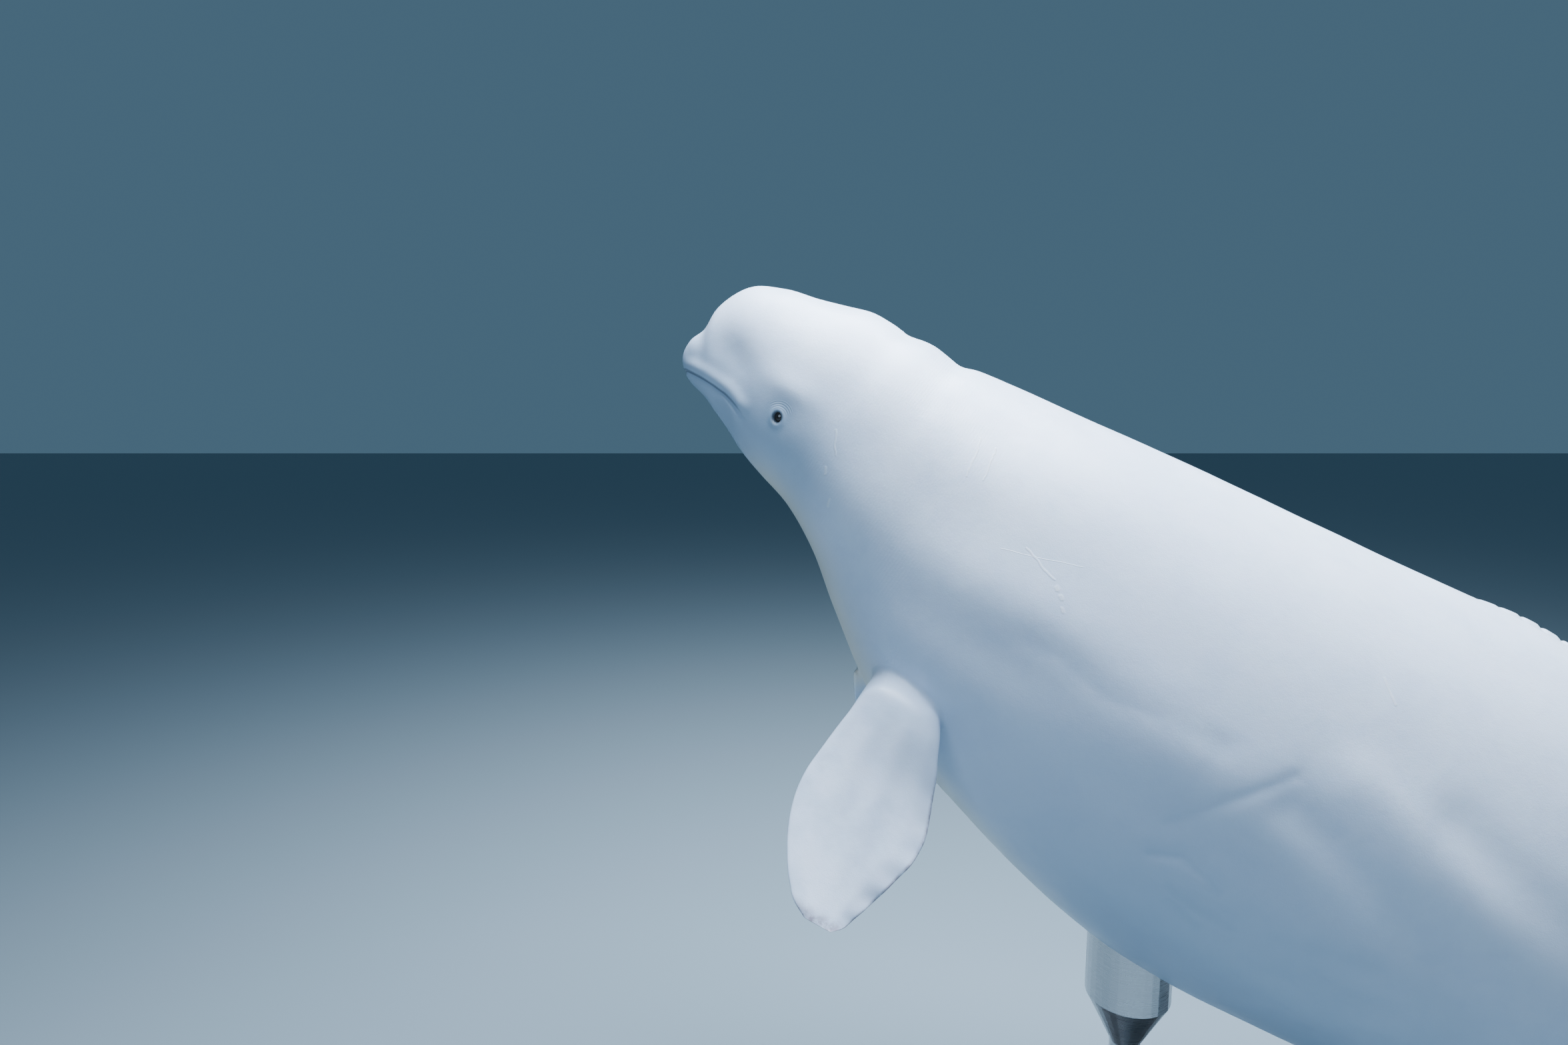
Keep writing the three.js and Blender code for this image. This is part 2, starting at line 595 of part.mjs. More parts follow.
// Flippers
const flipperAt = smoothRows(
  FLIPPER.stations.map((s) => s.at),
  FLIPPER.stations.map((s) => [s.front, s.rear, s.thick]),
);
const rounded = (t) => Math.sqrt(Math.max(0, 1 - (2 * t - 1) ** 2));
const bladeSection = (t) => rounded(t) ** 0.9 * (1.16 - 0.42 * t);
function flipperSolid(side, sweep, rootSink) {
  const root = new THREE.Vector3(...FLIPPER.root);
  const span = new THREE.Vector3(...FLIPPER.span).normalize();
  const chord = new THREE.Vector3(...FLIPPER.chord).normalize();
  const out = chord.clone().cross(span).normalize();
  if (out.y > 0) out.negate();
  span.applyAxisAngle(out, rad(sweep));
  chord.applyAxisAngle(out, rad(sweep));
  const last = FLIPPER.stations[FLIPPER.stations.length - 1].at;
  const pointOf = (along, across, face) => {
    const at = finReach(along, FLIPPER.stations);
    const [front, rear, thick] = flipperAt(at);
    const t = (1 - Math.cos(Math.PI * across)) / 2;
    const reach = clamp01(at / last);
    const ripple = FLIPPER.edgeCurl * reach * Math.sin(at / FLIPPER.curlEvery) * t ** 3;
    const lift = FLIPPER.tipCurl * reach ** 3 + ripple + face * (thick / 2) * bladeSection(t);
    const p = root.clone().addScaledVector(span, at).addScaledVector(chord, front + (rear - front) * t);
    p.addScaledVector(out, lift - rootSink * Math.max(0, FLIPPER.sinkFrom - at));
    p.y *= side;
    return posed(p);
  };
  return toSolid(blade(pointOf)).subtract(grownFront);
}

// Flukes
const flukeAt = smoothRows(
  FLUKE.stations.map((s) => s.at),
  FLUKE.stations.map((s) => [s.front, s.rear, s.thick]),
);
function flukeSolid(side) {
  const last = FLUKE.stations[FLUKE.stations.length - 1].at;
  const pointOf = (along, across, face) => {
    const at = finReach(along, FLUKE.stations);
    const [front, rear, thick] = flukeAt(at);
    const t = (1 - Math.cos(Math.PI * across)) / 2;
    const curl = FLUKE.tipCurl * clamp01(at / last) ** 2;
    const lift = FLUKE.height + curl + face * (thick / 2) * bladeSection(t);
    return posed(new THREE.Vector3(front + (rear - front) * t, at * side, lift));
  };
  return toSolid(blade(pointOf)).subtract(grownTail);
}

// Stand: a flat plate and two upright rods with a foot flange and a cup that follows the belly
function plateGeometry() {
  const shape = new THREE.Shape();
  const [x, y, r] = [BASE.length / 2 - BASE.bevel, BASE.width / 2 - BASE.bevel, BASE.corner];
  shape.moveTo(-x + r, -y);
  shape.lineTo(x - r, -y);
  shape.absarc(x - r, -y + r, r, -Math.PI / 2, 0);
  shape.lineTo(x, y - r);
  shape.absarc(x - r, y - r, r, 0, Math.PI / 2);
  shape.lineTo(-x + r, y);
  shape.absarc(-x + r, y - r, r, Math.PI / 2, Math.PI);
  shape.lineTo(-x, -y + r);
  shape.absarc(-x + r, -y + r, r, Math.PI, 1.5 * Math.PI);
  const geometry = new THREE.ExtrudeGeometry(shape, {
    depth: BASE.thick - 2 * BASE.bevel,
    bevelThickness: BASE.bevel,
    bevelSize: BASE.bevel,
    bevelSegments: 2,
    curveSegments: 6,
  });
  geometry.translate(0, 0, BASE.bevel);
  return geometry;
}

// The underside of the posed body over a place on the base
function bellyHeight(x) {
  let best = { gap: Infinity, z: 0 };
  for (let along = 900; along < 2850; along += 10) {
    const knot = knotAlong(along);
    for (let around = -90; around < -60; around += 3) {
      for (const side of [-1, 1]) {
        const s = skinPoint(knot, around);
        s.y *= side;
        const p = posed(s);
        const gap = Math.hypot(p.x - x, p.y);
        if (gap < best.gap) best = { gap, z: p.z };
      }
    }
  }
  return best.z;
}

// An upright rod: foot flange, weld, bar, and a cup cut to the shape of the belly
function rodSolid(x) {
  const foot = BASE.thick + GAP;
  const top = bellyHeight(x) + CUP.reachIn;
  const profile = [
    [0, foot],
    [ROD.flange, foot],
    [ROD.flange, foot + ROD.flangeThick - ROD.flangeEdge],
    [ROD.flange - ROD.flangeEdge, foot + ROD.flangeThick],
    [ROD.radius + ROD.weld, foot + ROD.flangeThick],
    [ROD.radius, foot + ROD.flangeThick + ROD.weld],
    [ROD.radius, top - CUP.neckDown],
    [CUP.coneRadius, top - CUP.coneDown],
    [CUP.radius, top - CUP.rimDown],
    [CUP.radius, top],
    [0, top],
  ];
  const rings = profile.slice(1, -1).map(([radius, z]) => Array.from({ length: ROD.segments }, (_, j) => {
    const a = (2 * Math.PI * j) / ROD.segments;
    return new THREE.Vector3(x + radius * Math.cos(a), radius * Math.sin(a), z);
  }));
  const rod = closedLoft(rings, new THREE.Vector3(x, 0, foot), new THREE.Vector3(x, 0, top));
  return toSolid(rod).subtract(grownFront).subtract(grownBelly);
}

const whale = new THREE.Group();
whale.name = 'beluga_whale';
whale.add(toMesh('head', fromSolid(headSolid), SKIN));
whale.add(toMesh('neck', fromSolid(neckPart(0)), SKIN));
whale.add(toMesh('chest', fromSolid(chestPart(0)), SKIN));
whale.add(toMesh('belly', fromSolid(bellyPart(0)), SKIN));
whale.add(toMesh('tail_stock', fromSolid(tailPart(0)), SKIN));
whale.add(toMesh('fluke_left', fromSolid(flukeSolid(-1)), SKIN_FIN));
whale.add(toMesh('fluke_right', fromSolid(flukeSolid(1)), SKIN_FIN));
const flipperLeft = flipperSolid(1, FLIPPER.sweep.left, FLIPPER.rootSink.left);
const flipperRight = flipperSolid(-1, FLIPPER.sweep.right, FLIPPER.rootSink.right);
whale.add(toMesh('flipper_left', fromSolid(flipperLeft), SKIN_FIN));
whale.add(toMesh('flipper_right', fromSolid(flipperRight), SKIN_FIN));
whale.add(toMesh('eye_left', fromSolid(toSolid(eyeball(eyes.left, 0))), EYEBALL));
whale.add(toMesh('eye_right', fromSolid(toSolid(eyeball(eyes.right, 0))), EYEBALL));
whale.add(toMesh('stand_base', plateGeometry(), PLATE));
whale.add(toMesh('stand_rod_front', fromSolid(rodSolid(ROD_FRONT_AT)), STEEL));
whale.add(toMesh('stand_rod_rear', fromSolid(rodSolid(ROD_REAR_AT)), STEEL));

export default whale;
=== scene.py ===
import bpy
import bmesh
import math
import numpy as np
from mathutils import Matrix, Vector, noise
from mathutils.kdtree import KDTree


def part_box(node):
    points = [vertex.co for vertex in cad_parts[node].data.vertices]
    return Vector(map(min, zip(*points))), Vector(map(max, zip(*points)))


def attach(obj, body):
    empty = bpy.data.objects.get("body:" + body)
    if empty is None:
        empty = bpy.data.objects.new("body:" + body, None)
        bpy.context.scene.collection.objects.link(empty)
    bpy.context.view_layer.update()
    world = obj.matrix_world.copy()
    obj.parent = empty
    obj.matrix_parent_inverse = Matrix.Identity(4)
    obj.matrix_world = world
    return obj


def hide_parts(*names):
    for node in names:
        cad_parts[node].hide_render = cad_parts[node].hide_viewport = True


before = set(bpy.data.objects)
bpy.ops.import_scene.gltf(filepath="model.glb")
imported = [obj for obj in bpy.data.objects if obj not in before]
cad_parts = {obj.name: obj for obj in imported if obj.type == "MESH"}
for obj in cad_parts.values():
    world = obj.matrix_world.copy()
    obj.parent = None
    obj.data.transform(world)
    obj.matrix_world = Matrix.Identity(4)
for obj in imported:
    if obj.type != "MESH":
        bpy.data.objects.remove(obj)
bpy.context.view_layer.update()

# Camera: level with the whale's head on its left side, where the picture was taken.
# The wide lens and the slight downward tilt give the same framing, with the tail cut off by the right edge.
LEVEL_VIEW, VIEW_DIP = 90, 8
camera_data = bpy.data.cameras.new("camera")
camera_data.sensor_width = 36.0
camera_data.lens = 21.43
camera = bpy.data.objects.new("camera", camera_data)
camera.location = (-1.30145, -1.85517, 2.09336)
camera.rotation_euler = (math.radians(LEVEL_VIEW - VIEW_DIP), 0, 0)
bpy.context.collection.objects.link(camera)
bpy.context.scene.camera = camera

# Skin: the whole whale's one unbroken, rubbery white hide over blubber, from the lips to the flukes.
# The body is drawn straight, nose at x = 0, from its cross-sections; the relief of lips, eyelids, folds
# and ridge is pressed into it, and the finished shape is bent and turned into the swimming pose.
BODY_LENGTH = 4.380
# back edge (along, height), belly edge (along, height), half width, waist, roundness above and below
BODY_SECTIONS = {
    "mouth": (0.022, -0.020, 0.022, -0.020, 0.000, 0.50, 2.0, 2.0),
    "lips": (0.001, 0.004, 0.045, -0.026, 0.040, 0.48, 2.2, 2.2),
    "beak": (-0.004, 0.044, 0.076, -0.034, 0.072, 0.45, 2.2, 2.2),
    "brow": (0.009, 0.083, 0.104, -0.043, 0.096, 0.42, 2.2, 2.2),
    "melon_front": (0.005, 0.138, 0.128, -0.052, 0.116, 0.42, 2.1, 2.2),
    "melon_rise": (0.036, 0.213, 0.157, -0.061, 0.138, 0.43, 2.1, 2.2),
    "melon_top": (0.103, 0.254, 0.197, -0.073, 0.165, 0.43, 2.1, 2.2),
    "melon_rear": (0.178, 0.277, 0.247, -0.089, 0.192, 0.43, 2.1, 2.2),
    "eyes": (0.265, 0.307, 0.307, -0.106, 0.214, 0.42, 2.1, 2.2),
    "blowhole": (0.370, 0.327, 0.388, -0.125, 0.232, 0.43, 2.1, 2.2),
    "throat": (0.480, 0.332, 0.483, -0.170, 0.248, 0.45, 2.1, 2.2),
    "nape": (0.599, 0.352, 0.592, -0.247, 0.270, 0.47, 2.1, 2.1),
    "shoulder": (0.800, 0.378, 0.780, -0.373, 0.325, 0.48, 2.1, 2.1),
    "chest": (1.050, 0.407, 1.037, -0.462, 0.378, 0.48, 2.1, 2.1),
    "trunk": (1.399, 0.441, 1.394, -0.528, 0.425, 0.48, 2.1, 2.1),
    "belly": (1.802, 0.480, 1.802, -0.499, 0.440, 0.48, 2.1, 2.1),
    "loin": (2.307, 0.450, 2.302, -0.421, 0.400, 0.49, 2.1, 2.1),
    "vent": (2.870, 0.350, 2.870, -0.318, 0.300, 0.50, 2.0, 2.0),
    "stock": (3.420, 0.240, 3.420, -0.208, 0.178, 0.50, 2.0, 2.0),
    "thin_stock": (3.850, 0.145, 3.850, -0.120, 0.092, 0.50, 2.0, 2.0),
    "fluke_root": (4.170, 0.066, 4.170, -0.050, 0.050, 0.50, 2.0, 2.0),
    "notch": (4.370, 0.012, 4.370, 0.000, 0.014, 0.50, 2.0, 2.0),
    "end": (BODY_LENGTH, 0.006, BODY_LENGTH, 0.006, 0.000, 0.50, 2.0, 2.0),
}
# mouth line: where it begins and ends, its height, its bow, and the drop of its corner
MOUTH_FRONT, MOUTH_REAR = 0.022, 0.214
MOUTH_HEIGHT, MOUTH_BOW, CORNER_DROP = -0.020, 0.004, 0.014
CORNER_FROM, CORNER_TO = 0.150, MOUTH_REAR + 0.036
# slit and lips: rise, width, and height over the mouth line
MOUTH_SLIT = (-0.0060, 0.0024, 0.0)
UPPER_LIP = (0.0068, 0.012, 0.013)
LOWER_LIP = (0.0056, 0.011, -0.009)
# hollow between melon and upper jaw, cheek, soft fold over the eye: rise, along, height, length, tallness, lean
HEAD_SWELLINGS = (
    (-0.011, 0.130, 0.052, 0.056, 0.044, 0.5),
    (0.009, 0.262, -0.060, 0.080, 0.055, 0.0),
    (0.006, 0.285, 0.062, 0.060, 0.026, 0.0),
)
HEAD_END, LEAN_FROM = 0.46, 0.060
# eye: its place, the lids' tilted oval opening, and the pit and socket it lies in
EYE_ALONG, EYE_HEIGHT = 0.2895, 0.0015
EYE_TILT = math.radians(41)
LID_SHORT, LID_LONG, LID_AT, LID_RISE = 0.0082, 0.0108, 1.35, 0.0028
PIT_DEEP, PIT_WIDTH, SOCKET_DEEP = 0.003, 0.034, 0.010
# crown, from behind the melon to the nape's crease: along, rise, width
CROWN_SWELLINGS = (
    (0.296, 0.005, 0.034), (0.384, -0.007, 0.026), (0.448, 0.0045, 0.030), (0.517, -0.007, 0.024),
)
CROWN_WIDTH, CROWN_FROM = 0.190, 0.160
# blowhole: place, half width and bow of the crescent
BLOWHOLE_ALONG, BLOWHOLE_HALF, BLOWHOLE_BOW = 0.372, 0.034, 0.018
# depth and width of its slit; rise, distance and width of its rim
BLOWHOLE_SLIT, BLOWHOLE_RIM = (0.012, 0.0045), (0.0025, 0.011, 0.006)
# notched ridge on the back: its ends and how softly it starts and stops, its rise and width, and its notches
RIDGE_FROM, RIDGE_TO, RIDGE_START, RIDGE_STOP = 1.560, 2.800, 0.300, 0.400
RIDGE_RISE, RIDGE_WIDTH = 0.030, 0.026
NOTCH_SPACING, NOTCH_WIDTH, NOTCH_DEEP = 0.047, 0.0055, 0.007
# swellings and hollows of the blubber: along, height, rise, length, width
BLUBBER = (
    (0.86, -0.045, 0.009, 0.170, 0.065), (0.80, -0.150, -0.006, 0.230, 0.055),
    (1.20, -0.110, 0.007, 0.220, 0.080), (1.30, -0.240, -0.008, 0.260, 0.060),
    (1.75, -0.060, 0.008, 0.240, 0.100), (1.66, -0.260, 0.006, 0.200, 0.080),
    (2.15, -0.180, -0.007, 0.260, 0.080), (0.66, 0.120, 0.006, 0.160, 0.080),
    (0.46, -0.060, 0.006, 0.100, 0.070),
)
# long folds of the flank: rise, width, and the (along, height) places they pass through
FLANK_FOLDS = (
    (0.006, 0.042, (
        (1.448, -0.006), (1.546, -0.031), (1.658, -0.075), (1.774, -0.121), (1.915, -0.162), (2.050, -0.200),
    )),
    (-0.009, 0.042, ((1.380, -0.110), (1.486, -0.130), (1.596, -0.165), (1.721, -0.217), (1.850, -0.270))),
    (-0.007, 0.038, ((1.607, 0.010), (1.721, -0.015), (1.849, -0.040), (2.000, -0.070))),
    (-0.008, 0.035, ((1.400, -0.345), (1.476, -0.351), (1.606, -0.350), (1.721, -0.325))),
    (0.005, 0.040, ((1.024, -0.380), (1.212, -0.400), (1.350, -0.410))),
    (-0.0024, 0.022, ((0.880, -0.093), (0.949, -0.087), (1.045, -0.108), (1.146, -0.083), (1.234, -0.080))),
    (-0.0018, 0.016, ((1.240, -0.233), (1.290, -0.150), (1.359, -0.054))),
    (-0.003, 0.014, ((1.252, -0.297), (1.298, -0.271), (1.378, -0.288))),
    (-0.003, 0.014, ((1.311, -0.327), (1.439, -0.332))),
)
FLANK_FROM = 0.080


def smooth(t):
    s = np.clip(t, 0.0, 1.0)
    return s * s * (3 - 2 * s)


def bell(distance, width):
    return np.exp(-(distance * distance) / (width * width))


def rows_curve(knots, rows):
    slopes = np.zeros_like(rows)
    slopes[0] = (rows[1] - rows[0]) / (knots[1] - knots[0])
    slopes[-1] = (rows[-1] - rows[-2]) / (knots[-1] - knots[-2])
    before, after = np.diff(knots)[:-1, None], np.diff(knots)[1:, None]
    steps = np.diff(rows, axis=0) / np.diff(knots)[:, None]
    slopes[1:-1] = (steps[:-1] * after + steps[1:] * before) / (before + after)

    def at(where):
        where = np.clip(where, knots[0], knots[-1])
        i = np.clip(np.searchsorted(knots, where, side="right") - 1, 0, len(knots) - 2)
        h = (knots[i + 1] - knots[i])[:, None]
        s = ((where - knots[i]) / (knots[i + 1] - knots[i]))[:, None]
        return (
            (2 * s**3 - 3 * s**2 + 1) * rows[i]
            + (s**3 - 2 * s**2 + s) * h * slopes[i]
            + (3 * s**2 - 2 * s**3) * rows[i + 1]
            + (s**3 - s**2) * h * slopes[i + 1]
        )

    return at


section_rows = np.array(list(BODY_SECTIONS.values()))
back_steps = np.hypot(np.diff(section_rows[:, 0]), np.diff(section_rows[:, 1]))
belly_steps = np.hypot(np.diff(section_rows[:, 2]), np.diff(section_rows[:, 3]))
section_knots = np.concatenate([[0], np.cumsum((back_steps + belly_steps) / 2)])
section_at = rows_curve(section_knots, section_rows)


def plain_body(knot, around):
    bx, bz, ex, ez, half, waist, upper, lower = section_at(knot).T
    sine, cosine = np.sin(np.radians(around)), np.cos(np.radians(around))
    roundness = np.where(sine >= 0, upper, lower)
    reach = np.abs(sine) ** (2 / roundness)
    centre_x, centre_z = ex + (bx - ex) * waist, ez + (bz - ez) * waist
    edge_x, edge_z = np.where(sine >= 0, bx, ex), np.where(sine >= 0, bz, ez)
    side = half * np.abs(cosine) ** (2 / roundness) * np.sign(cosine)
    x, z = centre_x + reach * (edge_x - centre_x), centre_z + reach * (edge_z - centre_z)
    return np.stack([x, side, z], 1)


def mouth_height(along):
    t = np.clip((along - MOUTH_FRONT) / (MOUTH_REAR - MOUTH_FRONT), 0, 1)
    drop = smooth((along - CORNER_FROM) / (CORNER_TO - CORNER_FROM))
    return MOUTH_HEIGHT + MOUTH_BOW * np.sin(np.pi * t) - CORNER_DROP * drop


def mouth_angle(knot):
    low, high = np.full_like(knot, -88.0), np.full_like(knot, 88.0)
    for _ in range(30):
        middle = (low + high) / 2
        p = plain_body(knot, middle)
        under = p[:, 2] < mouth_height(p[:, 0])
        low, high = np.where(under, middle, low), np.where(under, high, middle)
    return (low + high) / 2


def line_away(x, z, places):
    """Distance in the side view to a line through the places."""
    away = np.full(len(x), 9.0)
    for (start_x, start_z), (end_x, end_z) in zip(places, places[1:]):
        way_x, way_z = end_x - start_x, end_z - start_z
        share = np.clip(((x - start_x) * way_x + (z - start_z) * way_z) / (way_x**2 + way_z**2), 0, 1)
        away = np.minimum(away, np.hypot(x - start_x - share * way_x, z - start_z - share * way_z))
    return away


def skin_relief(p):
    x, z, side = p[:, 0], p[:, 2], np.abs(p[:, 1])
    out = np.zeros(len(p))
    head = (x < HEAD_END).astype(float)
    # lips: a fine slit between a full upper lip and a thinner lower one
    over = z - mouth_height(x)
    open_part = 1 - smooth((x - MOUTH_REAR + 0.012) / 0.036)
    began = smooth((x - 0.012) / 0.026)
    upper_began = smooth((x + 0.004) / 0.060)
    for (rise, width, height), start in ((MOUTH_SLIT, began), (UPPER_LIP, upper_began), (LOWER_LIP, began)):
        out += rise * bell(over - height, width) * open_part * start
    flank = smooth(side / 0.060) * head
    for rise, along, height, length, tall, lean in HEAD_SWELLINGS:
        out += rise * bell(x - along - lean * (LEAN_FROM - z), length) * bell(z - height, tall) * flank
    # eyelids round a tilted oval opening, in a shallow pit
    over_eye, behind_eye = z - EYE_HEIGHT, x - EYE_ALONG
    long_way = over_eye * math.cos(EYE_TILT) - behind_eye * math.sin(EYE_TILT)
    short_way = over_eye * math.sin(EYE_TILT) + behind_eye * math.cos(EYE_TILT)
    ring = np.hypot(short_way / LID_SHORT, long_way / LID_LONG)
    out -= PIT_DEEP * bell(np.hypot(behind_eye, over_eye), PIT_WIDTH) * flank
    out += LID_RISE * bell(ring - LID_AT, 0.75) * flank * (ring > LID_AT)
    out += LID_RISE * flank * (ring <= LID_AT) * smooth((ring - 0.75) / 0.60)
    out -= SOCKET_DEEP * (1 - smooth((ring - 0.85) / 0.20)) * flank
    # soft blubber and folds on shoulder and flank
    for along, height, rise, length, width in BLUBBER:
        out += rise * bell(x - along, length) * bell(z - height, width) * smooth(side / FLANK_FROM)
    for rise, width, places in FLANK_FOLDS:
        out += rise * bell(line_away(x, z, places), width) * smooth(side / FLANK_FROM)
    # crown: swellings before and behind the blowhole, then the nape's crease
    top = bell(side, CROWN_WIDTH) * smooth(z / CROWN_FROM)
    for along, rise, width in CROWN_SWELLINGS:
        out += rise * bell(x - along, width) * top
    # blowhole: a crescent slit with a raised rim
    bow = x - (BLOWHOLE_ALONG + BLOWHOLE_BOW * (1 - (side / BLOWHOLE_HALF) ** 2))
    slit = (1 - smooth((side - 0.026) / 0.012)) * (z > 0.15)
    out -= BLOWHOLE_SLIT[0] * bell(bow, BLOWHOLE_SLIT[1]) * slit
    out += BLOWHOLE_RIM[0] * bell(np.abs(bow) - BLOWHOLE_RIM[1], BLOWHOLE_RIM[2]) * slit
    # low notched ridge along the back
    rise = smooth((x - RIDGE_FROM) / RIDGE_START) * (1 - smooth((x - RIDGE_TO + RIDGE_STOP) / RIDGE_STOP))
    place = x / NOTCH_SPACING
    uneven = 0.5 + 0.5 * np.sin(np.floor(place) * 12.9898) ** 2
    notch = bell((place - np.floor(place) - 0.5) * NOTCH_SPACING, NOTCH_WIDTH) * uneven
    out += (RIDGE_RISE - NOTCH_DEEP * notch) * rise * bell(side, RIDGE_WIDTH) * (z > 0)
    return out


def skin_point(knot, around):
    p = plain_body(knot, around)
    a = plain_body(knot + 0.002, around) - plain_body(np.maximum(1e-5, knot - 0.002), around)
    b = plain_body(knot, around + 0.5) - plain_body(knot, around - 0.5)
    out = -np.cross(a, b)
    out[np.abs(around) > 89.9, 1] = 0
    out /= np.linalg.norm(out, axis=1)[:, None] + 1e-12
    return p + out * skin_relief(p)[:, None]


def turned(roll, dip, turn):
    cr, sr = np.cos(roll), np.sin(roll)
    cd, sd = np.cos(dip), np.sin(dip)
    ct, st = np.cos(turn), np.sin(turn)
    about_z = np.array([[ct, -st, 0], [st, ct, 0], [0, 0, 1]])
    about_y = np.array([[cd, 0, sd], [0, 1, 0], [-sd, 0, cd]])
    about_x = np.array([[1, 0, 0], [0, cr, -sr], [0, sr, cr]])
    return about_z @ about_y @ about_x


# bends along the spine: from, to, and the turn, dip and roll gained between them in degrees
SPINE_BENDS = ((0.350, 0.950, 4.481, -4.886, -0.987), (2.050, 4.150, 9.0, -24.0, 0.0))
# the place on the spine that keeps its straight direction, and the turn and place of the whole whale
STILL_PLACE = 1.400
WHOLE_TURN = turned(math.radians(-11.762), math.radians(30.926), math.radians(-7.651))
WHOLE_PLACE = np.array([-1.560, 0.200, 2.130])
spine_along = np.linspace(-0.100, 4.700, 261)
spine_turns = []
for along in spine_along:
    angles = np.zeros(3)
    for start, end, turn, dip, roll in SPINE_BENDS:
        share = smooth((along - start) / (end - start)) - smooth((STILL_PLACE - start) / (end - start))
        angles += np.radians([roll, dip, turn]) * share
    spine_turns.append(turned(*angles))
spine_turns = np.array(spine_turns)
ahead = (spine_turns[1:, :, 0] + spine_turns[:-1, :, 0]) / 2 * (spine_along[1] - spine_along[0])
spine_places = np.vstack([[0, 0, 0], np.cumsum(ahead, axis=0)])
still_now = [np.interp(STILL_PLACE, spine_along, spine_places[:, k]) for k in range(3)]
spine_places += np.array([STILL_PLACE, 0, 0]) - still_now


def posed(p):
    f = np.clip((p[:, 0] - spine_along[0]) / (spine_along[1] - spine_along[0]), 0, 259.999)
    i = f.astype(int)
    w = (f - i)[:, None]
    side = p.copy()
    side[:, 0] = 0
    a = np.einsum("nij,nj->ni", spine_turns[i], side) + spine_places[i]
    b = np.einsum("nij,nj->ni", spine_turns[i + 1], side) + spine_places[i + 1]
    return (a * (1 - w) + b * w) @ WHOLE_TURN.T + WHOLE_PLACE


def mapped_grid(name, across, around, shape, refine=()):
    """A closed skin from a flat grid; shape turns places 0 to 1 along and 0 to 2 round into posed points."""
    bm = bmesh.new()
    bmesh.ops.create_grid(bm, x_segments=across, y_segments=around, size=0.5)
    for region, cuts in refine:
        centres = np.array([f.calc_center_median()[:2] for f in bm.faces]) + 0.5
        chosen = region(centres[:, 0], centres[:, 1] * 2)
        faces = [f for f, pick in zip(bm.faces, chosen) if pick]
        edges = list({e for f in faces for e in f.edges})
        bmesh.ops.subdivide_edges(bm, edges=edges, cuts=cuts, use_grid_fill=True)
    flat = np.array([v.co[:2] for v in bm.verts]) + 0.5
    points, rest = shape(flat[:, 0], flat[:, 1] * 2)
    for v, p in zip(bm.verts, points):
        v.co = p
    bmesh.ops.remove_doubles(bm, verts=bm.verts, dist=2e-6)
    bmesh.ops.dissolve_degenerate(bm, edges=bm.edges, dist=1e-6)
    open_ends = bmesh.ops.holes_fill(bm, edges=[e for e in bm.edges if e.is_boundary], sides=0)
    bmesh.ops.triangulate(bm, faces=open_ends["faces"])
    bmesh.ops.recalc_face_normals(bm, faces=bm.faces)
    mesh = bpy.data.meshes.new(name)
    bm.to_mesh(mesh)
    bm.free()
    piece = bpy.data.objects.new(name, mesh)
    bpy.context.collection.objects.link(piece)
    return piece, points, rest


def body_knots(s):
    # rings lie 6 mm apart at the lips, 10 mm at the neck and about 30 mm near the flukes
    share = 0.34 * s + 0.66 * s**2.4
    return share * section_knots[-1]


def ring_angles(knot, t):
    """Even round the body, but gathered along the mouth line on the head, without a kink."""
    v = np.where(t <= 1, t, 2 - t)
    rows = section_at(knot)
    along = (rows[:, 0] + rows[:, 2]) / 2
    hold = 1 - smooth((along - MOUTH_REAR + 0.010) / 0.190)
    height = np.hypot(rows[:, 0] - rows[:, 2], rows[:, 1] - rows[:, 3])
    half_girth = np.maximum(0.020, (rows[:, 4] + height / 2) / 2 * np.pi)
    middle = mouth_angle(knot)
    full = np.minimum(0.038 / half_girth * 180, 27.0)
    places = np.array([0.0, 0.23, 0.385, 0.54, 1.0])
    angles = np.stack([np.full_like(v, -90), middle - full, middle, middle + full, np.full_like(v, 90)])
    steps = np.diff(angles, axis=0) / np.diff(places)[:, None]
    slopes = np.stack([
        steps[0],
        2 * steps[0] * steps[1] / (steps[0] + steps[1]),
        0.35 * steps[1],
        2 * steps[2] * steps[3] / (steps[2] + steps[3]),
        steps[3],
    ])
    i = np.clip(np.searchsorted(places, v, side="right") - 1, 0, 3)
    n = np.arange(len(v))
    h = places[i + 1] - places[i]
    q = (v - places[i]) / h
    held = (
        (2 * q**3 - 3 * q**2 + 1) * angles[i, n] + (q**3 - 2 * q**2 + q) * h * slopes[i, n]
        + (3 * q**2 - 2 * q**3) * angles[i + 1, n] + (q**3 - q**2) * h * slopes[i + 1, n]
    )
    even = -90 + 180 * v
    return even + (held - even) * hold


def body_shape(s, t):
    knot = body_knots(s)
    around = ring_angles(knot, t)
    p = skin_point(knot, around)
    p[:, 1] *= np.where(t > 1, -1, 1)
    soft = np.array([noise.noise(Vector(q) * 3.1) + 0.5 * noise.noise(Vector(q) * 7.3) for q in p])
    calm = smooth((p[:, 0] - 0.25) / 0.5) * (1 - smooth((p[:, 0] - 3.2) / 0.9))
    p[:, 1:] *= (1 + 0.006 * soft * calm)[:, None]
    rest = np.column_stack([p, np.zeros(len(p)), np.zeros(len(p))])
    return posed(p), rest


def straight(s, t):
    knot = body_knots(s)
    p = plain_body(knot, ring_angles(knot, t))
    p[:, 1] *= np.where(t > 1, -1, 1)
    return p


# places whose finer forms need a closer mesh
def around_eyes(s, t):
    p = straight(s, t)
    return np.hypot(p[:, 0] - EYE_ALONG, p[:, 2] - EYE_HEIGHT) < 0.060


def close_to_eyes(s, t):
    p = straight(s, t)
    return np.hypot(p[:, 0] - EYE_ALONG, p[:, 2] - EYE_HEIGHT) < 0.040


